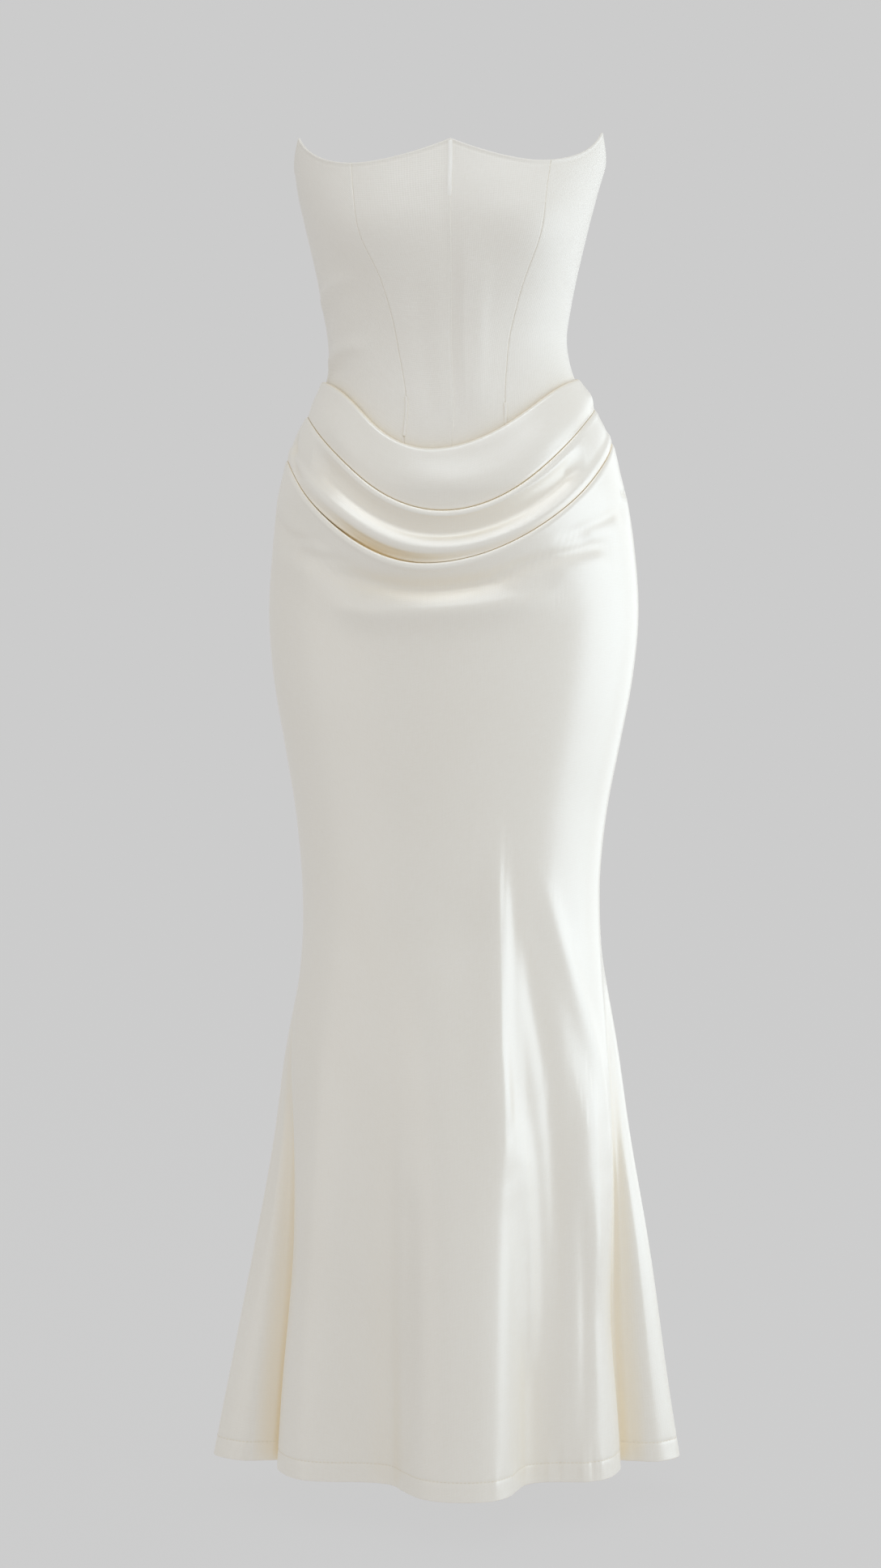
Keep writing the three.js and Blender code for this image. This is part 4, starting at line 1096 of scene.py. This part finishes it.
# In each look, dark and light are the cloth's own tones. Fold is painted shade: the warm tone mixed in
# deep in folds in place of bounced light.
CREPE = {
    "dark": (0.84, 0.80, 0.73), "light": (0.885, 0.855, 0.795), "fold": (0.87, 0.81, 0.69),
    "warp": 160.0, "weft": 150.0, "slub": 900.0, "grain": 1400.0, "rough": (0.42, 0.5),
    "weave_height": 0.5, "slub_height": 0.8, "bump": 0.3,
    "shader": {"Sheen Weight": 0.1, "Sheen Roughness": 0.5, "IOR": 1.65, "Specular IOR Level": 1.0},
}
LOOKS = {
    "crepe": CREPE,
    # The casing look is the crepe painted lighter, with a lighter fold shade too: a painted highlight
    # on the raised centre casing.
    "casing": {
        **CREPE,
        "dark": (0.89, 0.86, 0.80), "light": (0.92, 0.895, 0.84), "fold": (0.90, 0.87, 0.80),
        "rough": (0.36, 0.42), "weave_height": 0.4, "slub_height": 0.6, "bump": 0.2,
        "shader": {**CREPE["shader"], "IOR": 1.9},
    },
    "satin": {
        "dark": (0.865, 0.82, 0.735), "light": (0.90, 0.865, 0.79), "fold": (0.93, 0.79, 0.54),
        "warp": 260.0, "weft": 210.0, "slub": 700.0, "grain": 1000.0, "rough": (0.28, 0.34),
        "weave_height": 0.3, "slub_height": 0.4, "bump": 0.15,
        "shader": {"Sheen Weight": 0.05, "Sheen Roughness": 0.4, "IOR": 1.95,
                   "Specular IOR Level": 1.0, "Anisotropic": 0.4, "Anisotropic Rotation": 0.25},
    },
    "tape": {
        "dark": (0.70, 0.665, 0.585), "light": (0.77, 0.735, 0.65), "fold": (0.74, 0.68, 0.56),
        "warp": 120.0, "weft": 90.0, "slub": 800.0, "grain": 1200.0, "rough": (0.7, 0.85),
        "weave_height": 1.0, "slub_height": 0.6, "bump": 0.6,
        "shader": {"Sheen Weight": 0.1, "Sheen Roughness": 0.5, "Specular IOR Level": 0.3},
    },
}


ENAMEL = {
    "dark": (0.74, 0.70, 0.61), "light": (0.80, 0.765, 0.68), "grain": 900.0, "detail": 2.0,
    "bump": 0.12, "deep": 0.1,
    "shader": {"Roughness": 0.28, "Coat Weight": 0.4, "Coat Roughness": 0.12},
}
THREAD = {
    "dark": (0.74, 0.71, 0.64), "light": (0.86, 0.84, 0.78), "twist": 900.0,
    "shader": {"Roughness": 0.5},
}


def enamel_material():
    """Smooth ivory enamel, with a slight unevenness as sprayed paint has."""
    made = Material("ivory_enamel")
    noise = made.noise(made.place("Object"), ENAMEL["grain"], ENAMEL["detail"])
    colour = made.mix(noise, solid(ENAMEL["dark"]), solid(ENAMEL["light"]))
    made.feed(made.shader, {"Base Color": colour, **ENAMEL["shader"]})
    made.bump(noise, ENAMEL["bump"], ENAMEL["deep"])
    return made.material


def thread_material():
    """Twisted sewing thread, a little brighter than the cloth."""
    made = Material("sewing_thread")
    twist = made.threads(made.place("Object"), "DIAGONAL", THREAD["twist"])
    colour = made.mix(twist, solid(THREAD["dark"]), solid(THREAD["light"]))
    made.feed(made.shader, {"Base Color": colour, **THREAD["shader"]})
    return made.material


def dress_in(obj, material):
    obj.data.materials.clear()
    obj.data.materials.append(material)


# Stage

FLOOR_GREY = 0.604  # linear, the photograph's pale grey background
FLOOR_LEVEL = HEM - 45
FLOOR_HALF = 8.0  # metres


def make_stage():
    world = bpy.data.worlds.new("studio")
    world.use_nodes = True
    background = world.node_tree.nodes["Background"]
    background.inputs["Color"].default_value = solid((FLOOR_GREY,) * 3)
    background.inputs["Strength"].default_value = 1.0
    bpy.context.scene.world = world
    half = FLOOR_HALF
    corners = [(x, y, FLOOR_LEVEL * METRE)
               for x, y in ((-half, -half), (half, -half), (half, half), (-half, half))]
    mesh = bpy.data.meshes.new("floor")
    mesh.from_pydata(corners, [], [(0, 1, 2, 3)])
    floor = bpy.data.objects.new("floor", mesh)
    bpy.context.scene.collection.objects.link(floor)
    pale = Material("pale_floor")
    pale.feed(pale.shader, {
        "Base Color": solid((0.03, 0.03, 0.03)), "Roughness": 1.0, "Specular IOR Level": 0.0,
        "Emission Color": solid((FLOOR_GREY,) * 3), "Emission Strength": 0.97,
    })
    dress_in(floor, pale.material)


LIGHTS = table("name, place, wide, tall, watts, colour", [
    ("window", (2.17, -0.3, -0.4), 1.9, 1.7, 14, (0.80, 0.92, 1.0)),
    ("far_window", (1.75, 1.35, -0.3), 1.7, 1.8, 9.5, (0.84, 0.94, 1.0)),
    ("sky", (0.5, -2.1, 1.75), 2.6, 0.34, 6.5, (0.84, 0.93, 1.0)),
    ("overhead", (0.5, -1.0, 2.4), 2.4, 0.6, 12, (0.86, 0.94, 1.0)),
    ("fill", (-2.4, -1.8, 0.0), 2.4, 2.4, 3, (1.0, 0.95, 0.87)),
])
AIM = (0.0, 0.0, -0.35)


def make_lights():
    for row in LIGHTS:
        data = bpy.data.lights.new(row["name"], "AREA")
        data.shape = "RECTANGLE"
        data.size = row["wide"]
        data.size_y = row["tall"]
        data.energy = row["watts"]
        data.color = row["colour"]
        lamp = bpy.data.objects.new(row["name"], data)
        lamp.location = row["place"]
        away = np.array(row["place"]) - np.array(AIM)
        flat = math.hypot(away[0], away[1])
        lamp.rotation_euler = (math.atan2(flat, away[2]), 0.0, math.atan2(away[0], -away[1]))
        bpy.context.scene.collection.objects.link(lamp)


CAMERA = {"place": (-0.0096, -3.4, -0.12), "tilt": 5.216, "focal_pixels": 4250,
          "frame_height": 1936, "sensor": 36.0}


def make_camera():
    data = bpy.data.cameras.new("camera")
    data.sensor_fit = "AUTO"
    data.sensor_width = CAMERA["sensor"]
    data.lens = CAMERA["focal_pixels"] * CAMERA["sensor"] / CAMERA["frame_height"]
    camera = bpy.data.objects.new("camera", data)
    camera.location = CAMERA["place"]
    camera.rotation_euler = (math.radians(90 - CAMERA["tilt"]), 0.0, 0.0)
    bpy.context.scene.collection.objects.link(camera)
    bpy.context.scene.camera = camera


# The whole dress


def finish_trim(obj, material):
    dress_in(obj, material)
    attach(obj, "root")


def finish_cloth(obj, node, material):
    finish_trim(obj, material)
    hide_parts(node)


cloths = {name: cloth_material("ivory_" + name, look) for name, look in LOOKS.items()}
crepe, satin = cloths["crepe"], cloths["satin"]
enamel = enamel_material()
thread = thread_material()

make_camera()
bones = {}
for bone in BONES:
    casing = make_bone(bone)
    finish_trim(casing, cloths[bone["look"]])
    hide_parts(bone["node"])
    bones.setdefault(bone["panel"], []).append(casing)
for panel, node in zip(make_bodice(), BODICE_NODES):
    finish_cloth(panel, node, crepe)
front_stitches, right_stitches, left_stitches = make_hem_stitches()
for stitches in (front_stitches, right_stitches, left_stitches):
    finish_trim(stitches, thread)
finish_cloth(make_skirt_front(), "skirt_front", satin)
backs = (("skirt_back_right", SIDE_SEAM, right_stitches),
         ("skirt_back_left", FULL_TURN - SIDE_SEAM, left_stitches))
for node, side_seam, stitches in backs:
    cloth = make_skirt_back(node + "_cloth", side_seam)
    finish_cloth(cloth, node, satin)
teeth = make_teeth()
finish_trim(teeth, enamel)
finish_cloth(make_tape(), "zip_tape", cloths["tape"])
for node in ("zip_slider", "zip_pull"):
    dress_in(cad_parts[node], enamel)

make_lights()
make_stage()
bpy.context.scene.view_settings.view_transform = "Standard"
